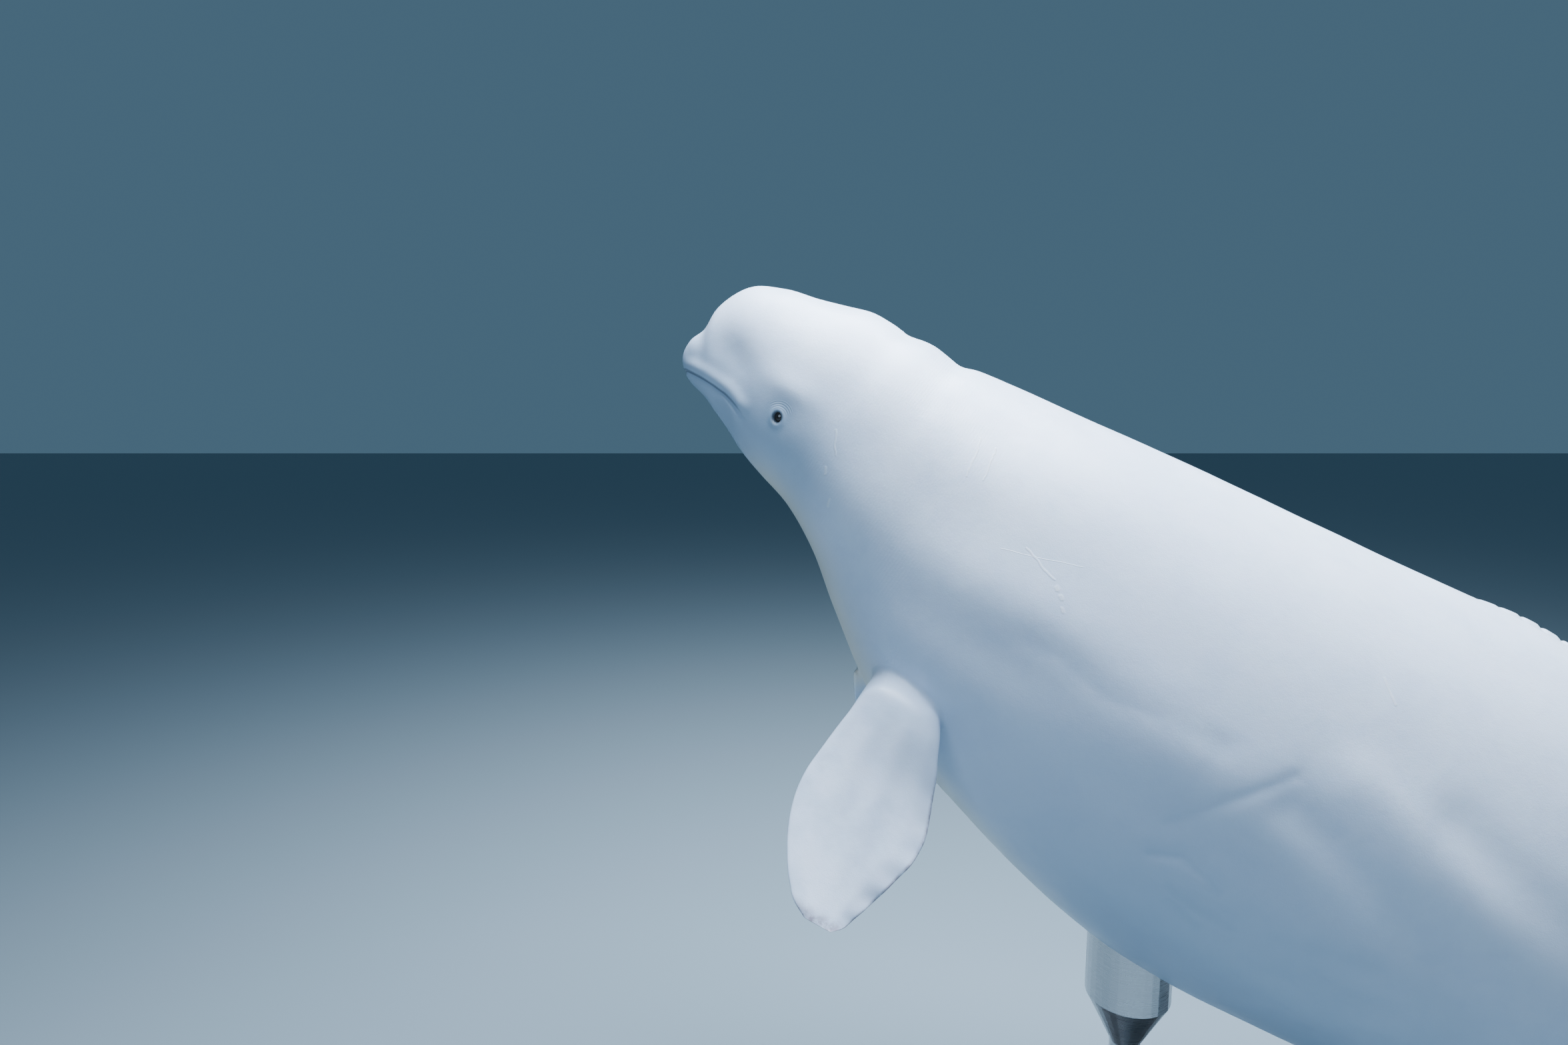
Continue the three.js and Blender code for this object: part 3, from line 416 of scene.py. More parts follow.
def at_blowhole(s, t):
    p = straight(s, t)
    return (np.abs(p[:, 0] - 0.382) < 0.040) & (np.abs(p[:, 1]) < 0.060) & (p[:, 2] > 0.1)


def along_ridge(s, t):
    p = straight(s, t)
    return (p[:, 0] > 1.55) & (p[:, 0] < 2.80) & (np.abs(p[:, 1]) < 0.045) & (p[:, 2] > 0)


def flipper_roots(s, t):
    p = straight(s, t)
    return (p[:, 0] > 0.64) & (p[:, 0] < 1.00) & (p[:, 2] < -0.12) & (np.abs(p[:, 1]) > 0.04)


def thin_folds(s, t):
    p = straight(s, t)
    return (p[:, 0] > 1.20) & (p[:, 0] < 1.46) & (p[:, 2] > -0.37) & (p[:, 2] < -0.03)


skin, body_points, body_rest = mapped_grid("skin", 270, 156, body_shape, (
    (around_eyes, 1), (close_to_eyes, 2), (at_blowhole, 2),
    (along_ridge, 3), (flipper_roots, 1), (thin_folds, 1),
))

# Flippers: short broad paddles of the same hide, stiff inside, with soft curled rims.
# Each is drawn flat from its leading and trailing edge, rounded in section, and sunk into the chest.
FLIPPER_ROOT = np.array([0.800, -0.215, -0.315])
FLIPPER_SPAN, FLIPPER_CHORD = np.array([0.067, -0.370, -0.927]), np.array([0.993, -0.069, 0.099])
# place along the flipper, leading edge, trailing edge, thickness
FLIPPER_ROWS = np.array([
    (-0.095, -0.078, 0.074, 0.092), (-0.040, -0.084, 0.066, 0.078), (0.020, -0.090, 0.058, 0.060),
    (0.060, -0.094, 0.068, 0.050), (0.102, -0.101, 0.084, 0.043), (0.150, -0.108, 0.097, 0.037),
    (0.200, -0.114, 0.107, 0.032), (0.250, -0.112, 0.103, 0.027), (0.300, -0.101, 0.085, 0.023),
    (0.345, -0.084, 0.067, 0.019), (0.385, -0.063, 0.049, 0.015), (0.412, -0.042, 0.035, 0.011),
    (0.425, -0.022, 0.021, 0.007),
])
flipper_at = rows_curve(FLIPPER_ROWS[:, 0], FLIPPER_ROWS[:, 1:])
TIP_EASE = 0.98


def blade_section(t):
    return np.sqrt(np.maximum(0, 1 - (2 * t - 1) ** 2)) ** 0.9 * (1.16 - 0.42 * t)


def turned_about(vector, axis, angle):
    return (
        vector * math.cos(angle)
        + np.cross(axis, vector) * math.sin(angle)
        + axis * (axis @ vector) * (1 - math.cos(angle))
    )


def flipper_shape(side, sweep, sink, sink_from):
    """One flipper: side 1 left and -1 right, swept back in degrees, its root sunk below sink_from."""
    span = FLIPPER_SPAN / np.linalg.norm(FLIPPER_SPAN)
    chord = FLIPPER_CHORD / np.linalg.norm(FLIPPER_CHORD)
    out = np.cross(chord, span)
    out /= np.linalg.norm(out)
    out = -out if out[1] > 0 else out
    span = turned_about(span, out, math.radians(sweep))
    chord = turned_about(chord, out, math.radians(sweep))

    def shape(s, t):
        first, last = FLIPPER_ROWS[0, 0], FLIPPER_ROWS[-1, 0]
        at = first + (last - first) * np.sin(s * np.pi / 2 * TIP_EASE) / math.sin(math.pi / 2 * TIP_EASE)
        front, rear, thick = flipper_at(at).T
        across = np.where(t <= 1, t, 2 - t)
        place = (1 - np.cos(np.pi * across)) / 2
        face = np.where(t <= 1, 1, -1)
        reach = np.clip(at / last, 0, 1)
        # the tip curls out, the trailing edge waves, and the left root swells over the shoulder
        curl = 0.034 * reach**3 + 0.009 * reach * np.sin(at / 0.034) * place**3
        curl += 0.003 * reach * np.sin(at / 0.0085 + 2 * place) * place**8
        curl += 0.020 * smooth(place / 0.8) * bell(at - 0.045, 0.065) * (side > 0)
        rays = 0.0012 * np.cos(7 * np.pi * place + 1.5 * at / last) * smooth(at / 0.120) * (1 - reach**3)
        proud = 0.012 * (side > 0) * smooth((at + 0.030) / 0.050) * bell(at, 0.110)
        sunk = sink * np.maximum(0, sink_from + 0.045 * (2 * place - 1) ** 4 - at) - proud
        lift = curl + rays + face * thick / 2 * blade_section(place) - sunk
        along_chord = front + (rear - front) * place
        p = FLIPPER_ROOT + span * at[:, None] + chord * along_chord[:, None] + out * lift[:, None]
        p[:, 1] *= side
        edge = np.abs(2 * place - 1)
        rest = np.column_stack([p, np.clip(at / last, 0.01, 1), np.where(place > 0.5, edge, -edge)])
        return posed(p), rest

    return shape


FLIPPER_MESH = (84, 88)
flipper_left, left_points, left_rest = mapped_grid(
    "flipper_left_form", *FLIPPER_MESH, flipper_shape(1, 0, 0.8, -0.012))
flipper_right, right_points, right_rest = mapped_grid(
    "flipper_right_form", *FLIPPER_MESH, flipper_shape(-1, 30, 0.8, 0.030))

# Flukes: the two horizontal blades of the tail, in one span from tip to tip with a notch in the middle.
# They are fleshy at the root, thin and slightly raised at the tips.
FLUKE_ROWS = np.array([
    (0.000, 3.960, 4.336, 0.062), (0.045, 4.000, 4.372, 0.054), (0.110, 4.075, 4.408, 0.042),
    (0.190, 4.150, 4.434, 0.034), (0.280, 4.224, 4.444, 0.027), (0.370, 4.290, 4.436, 0.020),
    (0.445, 4.342, 4.419, 0.014), (0.490, 4.378, 4.402, 0.008),
])
fluke_at = rows_curve(FLUKE_ROWS[:, 0], FLUKE_ROWS[:, 1:])
FLUKE_TIP = 0.490


def fluke_shape(s, t):
    at = FLUKE_TIP * np.sin((s * 2 - 1) * np.pi / 2 * TIP_EASE) / math.sin(math.pi / 2 * TIP_EASE)
    front, rear, thick = fluke_at(np.abs(at)).T
    across = np.where(t <= 1, t, 2 - t)
    place = (1 - np.cos(np.pi * across)) / 2
    face = np.where(t <= 1, 1, -1)
    lift = 0.008 + 0.026 * (at / FLUKE_TIP) ** 2 + face * thick / 2 * blade_section(place)
    p = np.column_stack([front + (rear - front) * place, at, lift])
    edge = np.abs(2 * place - 1)
    rest = np.column_stack([p, np.clip(np.abs(at) / FLUKE_TIP, 0.01, 1), np.where(place > 0.5, edge, -edge)])
    return posed(p), rest


flukes, fluke_points, fluke_rest = mapped_grid("flukes_form", 130, 72, fluke_shape)

# Joins: the fins grow out of the body, so their forms are united with it and the seams are rounded off.
# Each point then keeps its place on the straight body, its share along a fin and its nearness to a rim.
source_points = np.vstack([body_points, left_points, right_points, fluke_points])
source_rest = np.vstack([body_rest, left_rest, right_rest, fluke_rest])
for fin in (flipper_left, flipper_right, flukes):
    join = skin.modifiers.new("join", "BOOLEAN")
    join.operation = "UNION"
    join.solver = "MANIFOLD"
    join.object = fin
joined = bpy.data.meshes.new_from_object(skin.evaluated_get(bpy.context.evaluated_depsgraph_get()))
skin.modifiers.clear()
skin.data = joined
for fin in (flipper_left, flipper_right, flukes):
    bpy.data.objects.remove(fin)

lookup = KDTree(len(source_points))
for i, p in enumerate(source_points):
    lookup.insert(p, i)
lookup.balance()
bm = bmesh.new()
bm.from_mesh(skin.data)
found = [lookup.find(v.co) for v in bm.verts]
# points that no form had are new, and lie on a seam
NEW_POINT = 2e-5
seam = [v.co.copy() for v, f in zip(bm.verts, found) if f[2] > NEW_POINT]
seam_tree = KDTree(len(seam))
for i, p in enumerate(seam):
    seam_tree.insert(p, i)
seam_tree.balance()
bm.verts.ensure_lookup_table()
distance = [seam_tree.find(v.co)[2] if seam else 9.0 for v in bm.verts]
# rounding: distance to the seam and rounds, in a narrower band beside a fin's thin trailing edge
SEAM_ROUNDS = ((0.040, 3), (0.026, 5), (0.015, 6), (0.008, 4))
bands = [0.35 if source_rest[f[1], 4] > 0.5 else 1 for f in found]
for radius, rounds in SEAM_ROUNDS:
    close = [v for v, d, band in zip(bm.verts, distance, bands) if d < radius * band]
    for _ in range(rounds):
        bmesh.ops.smooth_vert(
            bm, verts=close, factor=0.5, use_axis_x=True, use_axis_y=True, use_axis_z=True)
bm.to_mesh(skin.data)
bm.free()
index = np.array([f[1] for f in found])
form = skin.data.attributes.new("form", "FLOAT_VECTOR", "POINT")
form.data.foreach_set("vector", source_rest[index, :3].astype(np.float32).ravel())
for name, column in (("fin", 3), ("rim", 4)):
    share = skin.data.attributes.new(name, "FLOAT", "POINT")
    share.data.foreach_set("value", source_rest[index, column].astype(np.float32))
skin.data.shade_smooth()
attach(skin, "root")
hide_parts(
    "head", "neck", "chest", "belly", "tail_stock",
    "fluke_left", "fluke_right", "flipper_left", "flipper_right")

# Hide: cool white with painted blue-grey shade under the flanks and jaws, a cream keel, mottled fins and plum
# rims; shade is also painted round the eyes, in the mouth's slit and in the flank's creases.
# Scratches, thin folds, wrinkles and pores are drawn by their places on the straight body.
hide = bpy.data.materials.new("whale_hide")
hide.use_nodes = True
nodes, links = hide.node_tree.nodes, hide.node_tree.links
shader = nodes["Principled BSDF"]


def add_node(kind, inputs=(), **settings):
    made = nodes.new(kind)
    for key, value in settings.items():
        setattr(made, key, value)
    for key, value in dict(inputs).items():
        if hasattr(value, "links"):
            links.new(value, made.inputs[key])
        else:
            made.inputs[key].default_value = value
    return made


def calc(operation, a, b=0.0, c=0.0, clamp=False):
    return add_node("ShaderNodeMath", {0: a, 1: b, 2: c}, operation=operation, use_clamp=clamp).outputs[0]


def ramp(value, low, high, to_low=0.0, to_high=1.0):
    return add_node(
        "ShaderNodeMapRange",
        {0: value, 1: low, 2: high, 3: to_low, 4: to_high},
        interpolation_type="SMOOTHSTEP",
    ).outputs[0]


def mix_color(share, a, b):
    made = nodes.new("ShaderNodeMix")
    made.data_type = "RGBA"
    for socket, value in ((0, share), (6, a), (7, b)):
        if hasattr(value, "links"):
            links.new(value, made.inputs[socket])
        else:
            made.inputs[socket].default_value = value
    return made.outputs[2]


def cloud(vector, scale, detail=3.0, roughness=0.5, distortion=0.0):
    return add_node("ShaderNodeTexNoise", {
        "Vector": vector, "Scale": scale, "Detail": detail, "Roughness": roughness, "Distortion": distortion,
    }).outputs[0]


def vector_calc(operation, a, b=(0, 0, 0), output="Vector"):
    return add_node("ShaderNodeVectorMath", {0: a, 1: b}, operation=operation).outputs[output]


form_vector = add_node("ShaderNodeAttribute", attribute_name="form").outputs["Vector"]
fin_value = add_node("ShaderNodeAttribute", attribute_name="fin").outputs["Fac"]
rim_value = add_node("ShaderNodeAttribute", attribute_name="rim").outputs["Fac"]
split = add_node("ShaderNodeSeparateXYZ", {0: form_vector})
form_x, form_y, form_z = split.outputs
object_place = add_node("ShaderNodeTexCoord").outputs["Object"]

WHITE, GREY, SHADE_BLUE_GREY = (0.76, 0.85, 0.98, 1), (0.56, 0.67, 0.84, 1), (0.30, 0.44, 0.58, 1)
CREAM, PLUM, FIN_GREY = (0.82, 0.74, 0.60, 1), (0.13, 0.08, 0.12, 1), (0.46, 0.57, 0.70, 1)
LID_SHADE_DARK, SLIT_SHADE_DARK, SCAR_WHITE = (0.07, 0.08, 0.10, 1), (0.09, 0.12, 0.16, 1), (0.93, 0.95, 0.97, 1)
SIDE_VIEW = (1, 0, 1)

# cool white, clouded with grey, with painted blue-grey shade under the flanks and jaws, where the light from
# above falls less
broad = cloud(object_place, 2.2, 4)
fine = cloud(object_place, 26, 5, 0.6)
clouded = cloud(object_place, 8.5, 5, 0.62, 0.6)
color = mix_color(ramp(broad, 0.35, 0.75, 0, 0.35), WHITE, GREY)
color = mix_color(ramp(fine, 0.45, 0.75, 0, 0.20), color, GREY)
color = mix_color(ramp(clouded, 0.42, 0.70, 0, 0.28), color, GREY)
body_share = calc("SUBTRACT", 1.0, ramp(fin_value, 0.0, 0.25))
# painted shade: the lower body and the jaws darken to blue-grey, as if shaded from the light above
low_shade = ramp(calc("ADD", form_z, calc("MULTIPLY", broad, 0.16)), 0.20, -0.40)
underside_shade = calc("MULTIPLY", low_shade, body_share)
underside_shade = calc("MULTIPLY", underside_shade, ramp(form_x, 0.80, 1.40, 0.40, 0.74))
jaw_shade = calc("MULTIPLY", ramp(form_z, 0.16, -0.05), calc("MULTIPLY", ramp(form_x, 0.56, 0.34), 0.66))
color = mix_color(calc("MAXIMUM", underside_shade, jaw_shade), color, SHADE_BLUE_GREY)
# warm cream along the keel from throat to chest
keel = calc("MULTIPLY", ramp(calc("ABSOLUTE", form_y), 0.20, 0.05), ramp(form_z, -0.03, -0.10))
keel = calc("MULTIPLY", calc("MULTIPLY", keel, ramp(form_x, 1.5, 0.8)), ramp(form_x, 0.22, 0.34))
color = mix_color(calc("MULTIPLY", keel, 0.75), color, CREAM)
# painted shade round the eyes, darkest at the lids' rim, and a dark line of painted shade in the mouth's slit
to_eye = vector_calc("SUBTRACT", form_vector, (EYE_ALONG, 0, EYE_HEIGHT))
to_eye = vector_calc("MULTIPLY", to_eye, SIDE_VIEW)
eye_away = vector_calc("LENGTH", to_eye, output="Value")
color = mix_color(ramp(eye_away, 0.045, 0.012, 0, 0.55), color, SHADE_BLUE_GREY)
color = mix_color(ramp(eye_away, 0.0150, 0.0100, 0, 0.8), color, LID_SHADE_DARK)
mouth_part = calc("DIVIDE", calc("SUBTRACT", form_x, MOUTH_FRONT), MOUTH_REAR - MOUTH_FRONT, clamp=True)
mouth_rise = calc("MULTIPLY", calc("SINE", calc("MULTIPLY", mouth_part, math.pi)), MOUTH_BOW)
mouth_line = calc("ADD", mouth_rise, MOUTH_HEIGHT)
mouth_line = calc("ADD", mouth_line, ramp(form_x, CORNER_FROM, CORNER_TO, 0.0, -CORNER_DROP))
from_mouth = calc("ABSOLUTE", calc("SUBTRACT", form_z, mouth_line))
slit_end = ramp(form_x, MOUTH_REAR + 0.012, MOUTH_REAR - 0.030)
slit = calc("MULTIPLY", ramp(from_mouth, 0.0030, 0.0006), slit_end)
slit = calc("MULTIPLY", slit, ramp(form_x, 0.006, 0.026))
# painted shade: the mouth's slit is darkened as the gap between the lips would be shaded
color = mix_color(calc("MULTIPLY", slit, 0.65), color, SLIT_SHADE_DARK)
# mottled fins with plum-brown rims
fin_part = ramp(fin_value, 0.0, 0.12)
mottle = ramp(cloud(object_place, 11, 3, 0.55), 0.38, 0.66, 0.08, 0.80)
color = mix_color(calc("MULTIPLY", mottle, calc("MULTIPLY", fin_part, 0.70)), color, FIN_GREY)
rear_rim = ramp(rim_value, 0.92, 1.0)
tip_rim = ramp(fin_value, 0.93, 1.0)
blotch = cloud(object_place, 60, 4, 0.6)
rim_share = calc("MAXIMUM", calc("MULTIPLY", rear_rim, ramp(fin_value, 0.12, 0.35)), tip_rim)
rim_share = calc("MULTIPLY", rim_share, ramp(blotch, 0.30, 0.62, 0.25, 1.0))
color = mix_color(calc("MULTIPLY", rim_share, 0.8), color, PLUM)

# old scratches on the left side: from (along, height) to (along, height), half width
SCRATCHES = (
    ((0.435, -0.018), (0.441, -0.030), 0.0016), ((0.476, -0.064), (0.480, -0.076), 0.0018),
    ((0.410, 0.052), (0.436, 0.010), 0.0012), ((0.808, 0.052), (0.869, 0.025), 0.0014),
    ((0.880, 0.016), (0.884, 0.014), 0.0026), ((0.893, 0.006), (0.897, 0.003), 0.0024),
    ((0.905, -0.012), (0.908, -0.016), 0.0026), ((0.770, 0.026), (0.900, 0.070), 0.0004),
    ((0.640, 0.190), (0.655, 0.110), 0.0014), ((0.672, 0.186), (0.684, 0.120), 0.0012),
    ((1.420, 0.170), (1.450, 0.140), 0.0020),
)
# thin creases in the flank's folds: from, to, half width, depth
CREASES = (
    ((1.240, -0.233), (1.290, -0.150), 0.006, 0.7), ((1.290, -0.150), (1.359, -0.054), 0.007, 0.8),
    ((1.252, -0.297), (1.298, -0.271), 0.006, 1.0), ((1.298, -0.271), (1.378, -0.288), 0.006, 1.0),
    ((1.311, -0.327), (1.439, -0.332), 0.006, 1.0), ((0.890, -0.092), (0.949, -0.087), 0.007, 0.25),
    ((0.949, -0.087), (1.045, -0.108), 0.008, 0.40), ((1.045, -0.108), (1.130, -0.086), 0.007, 0.25),
    ((1.330, -0.350), (1.400, -0.362), 0.006, 1.0), ((1.500, -0.300), (1.640, -0.250), 0.012, 0.8),
)
wobble = vector_calc("MULTIPLY", cloud(object_place, 30, 2), (0.010, 0, 0.010))
flat_form = vector_calc("ADD", vector_calc("MULTIPLY", form_vector, SIDE_VIEW), wobble)


def line_distance(start, end):
    start, way = Vector((start[0], 0, start[1])), Vector((end[0] - start[0], 0, end[1] - start[1]))
    from_start = vector_calc("SUBTRACT", flat_form, start)
    along_way = vector_calc("DOT_PRODUCT", from_start, way, output="Value")
    share = calc("DIVIDE", along_way, way.length_squared, clamp=True)
    nearest = add_node("ShaderNodeVectorMath", {0: way, "Scale": share}, operation="SCALE").outputs[0]
    return vector_calc("DISTANCE", from_start, nearest, output="Value")


scratches = 0.0
for start, end, width in SCRATCHES:
    near = ramp(line_distance(start, end), width * 2.2, width * 0.4)
    scratches = calc("MAXIMUM", scratches, near)
left_side = ramp(form_y, 0.0, -0.02)
scratches = calc("MULTIPLY", scratches, left_side)
creases = 0.0
for start, end, width, depth in CREASES:
    taper = ramp(line_distance(start, end), width * 3.4, 0.0)
    creases = calc("MAXIMUM", creases, calc("MULTIPLY", calc("MULTIPLY", taper, taper), depth))
color = mix_color(calc("MULTIPLY", scratches, 0.35), color, SCAR_WHITE)
# painted shade: the creases are darkened to blue-grey, besides being sunk in the bump below
color = mix_color(calc("MULTIPLY", creases, 0.16), color, SHADE_BLUE_GREY)
links.new(color, shader.inputs["Base Color"])

# thin arcs of wrinkles over the eye
ARC_SPACING = 0.0045
eye_parts = add_node("ShaderNodeSeparateXYZ", {0: to_eye})
forward = calc("MULTIPLY", eye_parts.outputs[0], -0.17)
upward = calc("MULTIPLY", eye_parts.outputs[2], 0.98)
rising = calc("DIVIDE", calc("ADD", upward, forward), eye_away)
arc_band = calc("MULTIPLY", ramp(eye_away, 0.015, 0.020), ramp(eye_away, 0.037, 0.030))
arc_place = calc("MULTIPLY", ramp(rising, 0.45, 0.80), arc_band)
arc_wave = calc("SINE", calc("MULTIPLY", eye_away, 2 * math.pi / ARC_SPACING))
arcs = calc("MULTIPLY", arc_wave, arc_place)
# faint cross lines on the sides of head and neck, in patches
lines = add_node(
    "ShaderNodeTexWave",
    {"Vector": form_vector, "Scale": 52.0, "Distortion": 3.2, "Detail": 2.0, "Detail Scale": 1.4},
    wave_type="BANDS", bands_direction="X",
).outputs[1]
patchy = ramp(cloud(object_place, 5.0, 2), 0.36, 0.60, 0.15, 1.0)
line_place = calc("MULTIPLY", ramp(form_x, 0.27, 0.40), ramp(form_x, 0.95, 0.50))
line_place = calc("MULTIPLY", calc("MULTIPLY", line_place, body_share), patchy)
# heights in metres: lines, arcs, creases, scratches, pores and the wet skin's slight unevenness
height = calc("MULTIPLY", calc("MULTIPLY", lines, line_place), 0.00013)
height = calc("ADD", height, calc("MULTIPLY", arcs, 0.00026))
height = calc("ADD", height, calc("MULTIPLY", creases, -0.0014))
height = calc("ADD", height, calc("MULTIPLY", scratches, 0.0006))
height = calc("ADD", height, calc("MULTIPLY", cloud(object_place, 420, 3, 0.6), 0.00035))
height = calc("ADD", height, calc("MULTIPLY", cloud(object_place, 34, 4, 0.55), 0.0008))
bump = add_node("ShaderNodeBump", {"Height": height, "Strength": 0.7, "Distance": 1.0})
links.new(bump.outputs[0], shader.inputs["Normal"])
links.new(ramp(cloud(object_place, 14, 4), 0.3, 0.7, 0.36, 0.50), shader.inputs["Roughness"])
shader.inputs["Subsurface Weight"].default_value = 0.12
shader.inputs["Subsurface Radius"].default_value = (0.012, 0.007, 0.005)
shader.inputs["Subsurface Scale"].default_value = 1.0
shader.inputs["Coat Weight"].default_value = 0.12
shader.inputs["Coat Roughness"].default_value = 0.25
skin.data.materials.clear()
skin.data.materials.append(hide)

# Eyes: small dark wet eyeballs, set deep between the lids on both sides of the head.
# Each is a slightly flattened ball whose front just shows in the opening.
EYE_LENGTH, EYE_TALL, EYE_DEEP, EYE_SINK = 0.013, 0.013, 0.0105, 0.0062
EYE_BLACK, EYE_BROWN = (0.012, 0.011, 0.012, 1), (0.045, 0.034, 0.028, 1)
eye_dark = bpy.data.materials.new("dark_wet_eye")
eye_dark.use_nodes = True
nodes, links = eye_dark.node_tree.nodes, eye_dark.node_tree.links
shader = nodes["Principled BSDF"]
eye_place = add_node("ShaderNodeTexCoord").outputs["Object"]
links.new(mix_color(cloud(eye_place, 240, 3), EYE_BLACK, EYE_BROWN), shader.inputs["Base Color"])
links.new(ramp(cloud(eye_place, 500, 2), 0.3, 0.7, 0.03, 0.09), shader.inputs["Roughness"])
shader.inputs["Coat Weight"].default_value = 0.8
shader.inputs["Coat Roughness"].default_value = 0.03


def skin_at(along, height):
    """The point of the plain straight body, on its positive side, at this place along and this height."""
    low, high = np.array([0.01]), section_knots[-1:]
    for _ in range(40):
        knot = (low + high) / 2
        below, above = np.array([-80.0]), np.array([80.0])
        for _ in range(30):
            middle = (below + above) / 2
            short = plain_body(knot, middle)[:, 2] < height
            below, above = np.where(short, middle, below), np.where(short, above, middle)
        ahead = plain_body(knot, below)[:, 0] < along
        low, high = np.where(ahead, knot, low), np.where(ahead, high, knot)
    return plain_body(low, below)[0]


def unit(vector):
    return vector / np.linalg.norm(vector)


for side, name in ((-1, "left"), (1, "right")):
    node_low, node_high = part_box("eye_" + name)
    middle = (Vector(node_low) + Vector(node_high)) / 2
    # directions along the head, up and out at the eye, bent and turned with the body
    here = skin_at(EYE_ALONG, EYE_HEIGHT)
    ahead = skin_at(EYE_ALONG + 0.012, EYE_HEIGHT) - skin_at(EYE_ALONG - 0.012, EYE_HEIGHT)
    rising = skin_at(EYE_ALONG, EYE_HEIGHT + 0.012) - skin_at(EYE_ALONG, EYE_HEIGHT - 0.012)
    out = np.cross(rising, ahead)
    out = -out if out[1] < 0 else out
    up = np.cross(out, ahead)
    base = np.array([here, here + unit(ahead) * 0.01, here + unit(up) * 0.01, here + unit(out) * 0.01])
    base[:, 1] *= side
    base = posed(base)
    axes = [Vector(base[k] - base[0]).normalized() for k in (1, 2, 3)]
    centre = middle - axes[2] * EYE_SINK
    bm = bmesh.new()
    bmesh.ops.create_uvsphere(bm, u_segments=48, v_segments=32, radius=1.0)
    for v in bm.verts:
        x, y, z = v.co
        v.co = centre + axes[0] * x * EYE_LENGTH + axes[1] * y * EYE_TALL + axes[2] * z * EYE_DEEP
    bmesh.ops.recalc_face_normals(bm, faces=bm.faces)
    mesh = bpy.data.meshes.new("eyeball_" + name)
    bm.to_mesh(mesh)
    bm.free()
    mesh.shade_smooth()
    mesh.materials.append(eye_dark)
    eyeball = bpy.data.objects.new("eyeball_" + name, mesh)
    bpy.context.collection.objects.link(eyeball)
    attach(eyeball, "root")
    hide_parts("eye_" + name)

# Stand plate: a heavy steel plate with softened edges, powder-coated dark.
# The plate itself is the solid from the frame; only its finish is made here.
COAT_DARK, COAT_LIGHT = (0.030, 0.033, 0.038, 1), (0.045, 0.048, 0.054, 1)
plate_paint = bpy.data.materials.new("powder_coat")
plate_paint.use_nodes = True
nodes, links = plate_paint.node_tree.nodes, plate_paint.node_tree.links
shader = nodes["Principled BSDF"]
plate_place = add_node("ShaderNodeTexCoord").outputs["Object"]
plate_cloud = ramp(cloud(plate_place, 6, 4), 0.3, 0.7)
speck = cloud(plate_place, 900, 2, 0.6)
links.new(mix_color(plate_cloud, COAT_DARK, COAT_LIGHT), shader.inputs["Base Color"])
links.new(ramp(speck, 0.3, 0.7, 0.42, 0.62), shader.inputs["Roughness"])
speck_height = calc("MULTIPLY", speck, 0.0004)
bump = add_node("ShaderNodeBump", {"Height": speck_height, "Strength": 0.5, "Distance": 1.0})
links.new(bump.outputs[0], shader.inputs["Normal"])
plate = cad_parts["stand_base"]
plate.data.materials.clear()
plate.data.materials.append(plate_paint)

# Stand rods: two upright round steel bars, each with a foot flange on the plate and a cup that holds the belly.
# They are bare steel, brushed round and round; the solids from the frame only get this finish here.
STEEL_DARK, STEEL_LIGHT = (0.50, 0.51, 0.53, 1), (0.66, 0.67, 0.68, 1)
BRUSHED_ROUND = (18, 18, 900)
steel = bpy.data.materials.new("brushed_steel")
steel.use_nodes = True
nodes, links = steel.node_tree.nodes, steel.node_tree.links
shader = nodes["Principled BSDF"]
shader.inputs["Metallic"].default_value = 1.0
steel_place = add_node("ShaderNodeTexCoord").outputs["Object"]
stretched = add_node("ShaderNodeMapping", {0: steel_place, 3: BRUSHED_ROUND}).outputs[0]
grain = cloud(stretched, 1.0, 4, 0.6)
links.new(mix_color(grain, STEEL_DARK, STEEL_LIGHT), shader.inputs["Base Color"])
links.new(ramp(grain, 0.3, 0.7, 0.24, 0.38), shader.inputs["Roughness"])
grain_height = calc("MULTIPLY", grain, 0.0002)
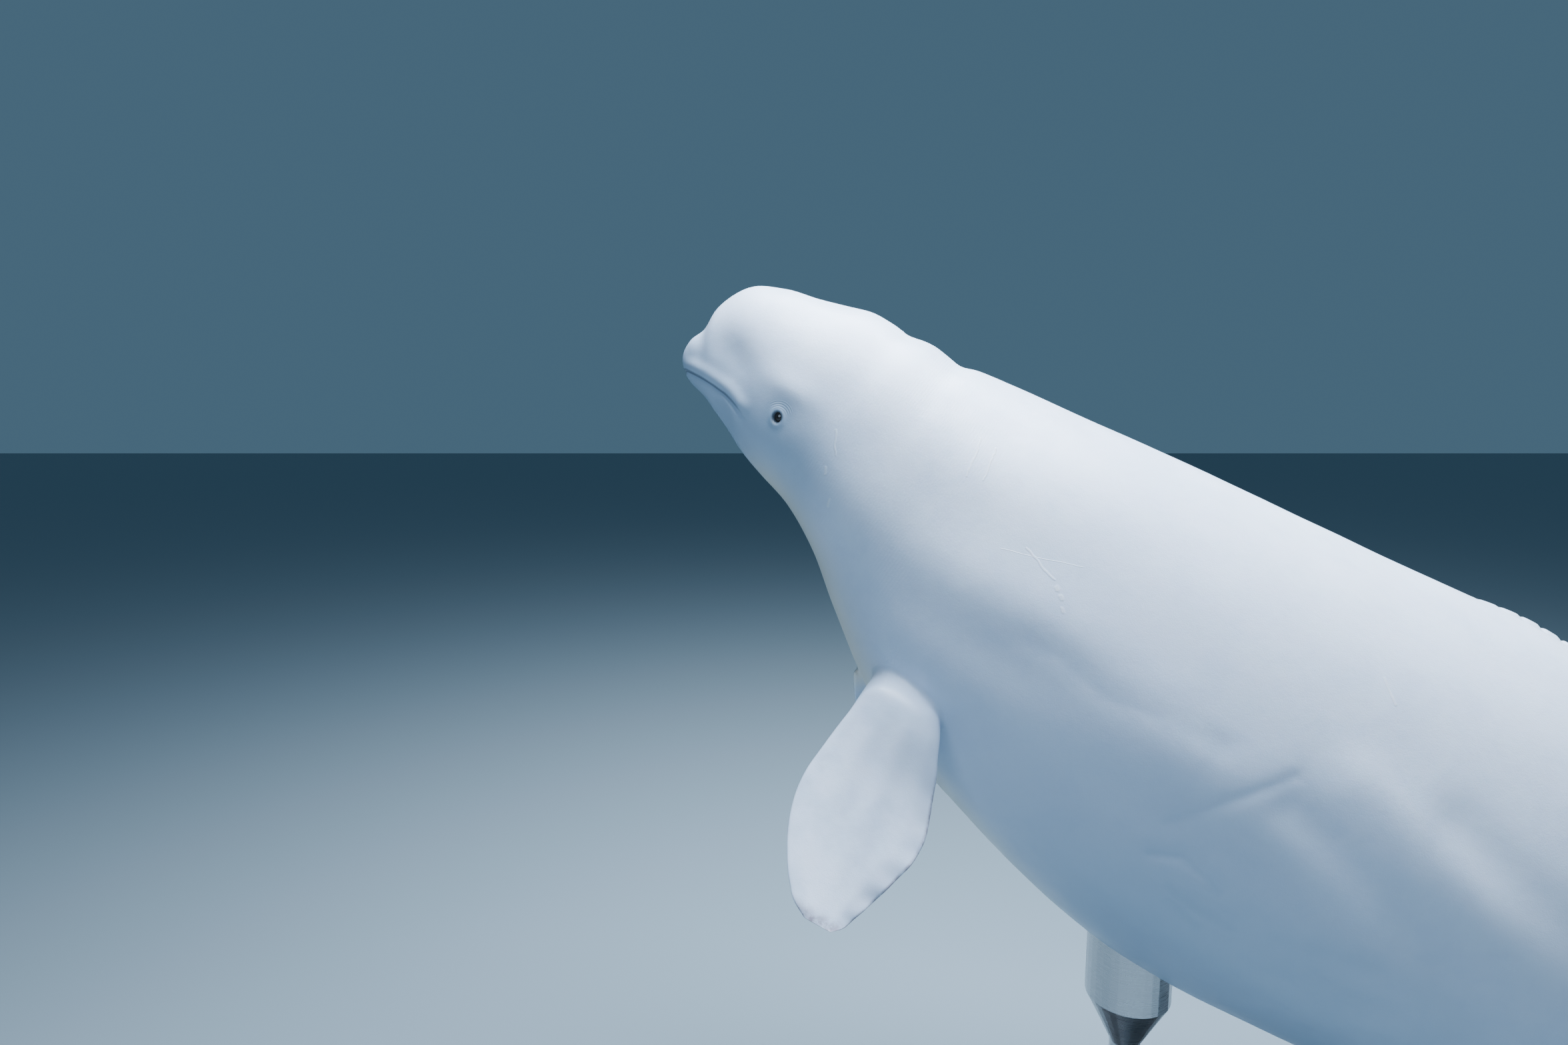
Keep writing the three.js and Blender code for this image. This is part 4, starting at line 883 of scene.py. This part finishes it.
bump = add_node("ShaderNodeBump", {"Height": grain_height, "Strength": 0.4, "Distance": 1.0})
links.new(bump.outputs[0], shader.inputs["Normal"])
for name in ("stand_rod_front", "stand_rod_rear"):
    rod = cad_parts[name]
    rod.data.materials.clear()
    rod.data.materials.append(steel)

# Floor and lights: a wide pale floor, one large soft light above and weaker fill from the sides.
# They belong to the room, not to the model.
FLOOR_GREY, ROOM_BLUE, ROOM_LIGHT = (0.24, 0.31, 0.35, 1), (0.075, 0.15, 0.22, 1), 0.9
bm = bmesh.new()
bmesh.ops.create_grid(bm, x_segments=1, y_segments=1, size=30)
floor_mesh = bpy.data.meshes.new("floor")
bm.to_mesh(floor_mesh)
bm.free()
floor = bpy.data.objects.new("floor", floor_mesh)
bpy.context.collection.objects.link(floor)
floor_paint = bpy.data.materials.new("pale_floor")
floor_paint.use_nodes = True
shader = floor_paint.node_tree.nodes["Principled BSDF"]
shader.inputs["Base Color"].default_value = FLOOR_GREY
shader.inputs["Roughness"].default_value = 0.7
floor_mesh.materials.append(floor_paint)

world = bpy.data.worlds.new("studio")
bpy.context.scene.world = world
world.use_nodes = True
background = world.node_tree.nodes["Background"]
background.inputs["Color"].default_value = ROOM_BLUE
background.inputs["Strength"].default_value = ROOM_LIGHT
# name, place, aim, diameter, watts, tint
for name, place, aim, size, power, tint in (
    ("top_light", (-0.4, 0.4, 4.8), (-0.2, 0.0, 1.2), 3.2, 760, (0.77, 0.86, 1.0)),
    ("left_light", (-4.0, -5.0, 3.2), (-0.5, 0.0, 1.4), 4.0, 115, (0.62, 0.78, 1.0)),
    ("right_light", (4.5, 4.0, 3.5), (0.4, 0.0, 1.2), 4.0, 70, (0.72, 0.88, 1.0)),
):
    lamp_data = bpy.data.lights.new(name, "AREA")
    lamp_data.shape = "DISK"
    lamp_data.size = size
    lamp_data.energy = power
    lamp_data.color = tint
    lamp = bpy.data.objects.new(name, lamp_data)
    lamp.location = place
    lamp.rotation_euler = (Vector(aim) - Vector(place)).to_track_quat("-Z", "Y").to_euler()
    bpy.context.collection.objects.link(lamp)
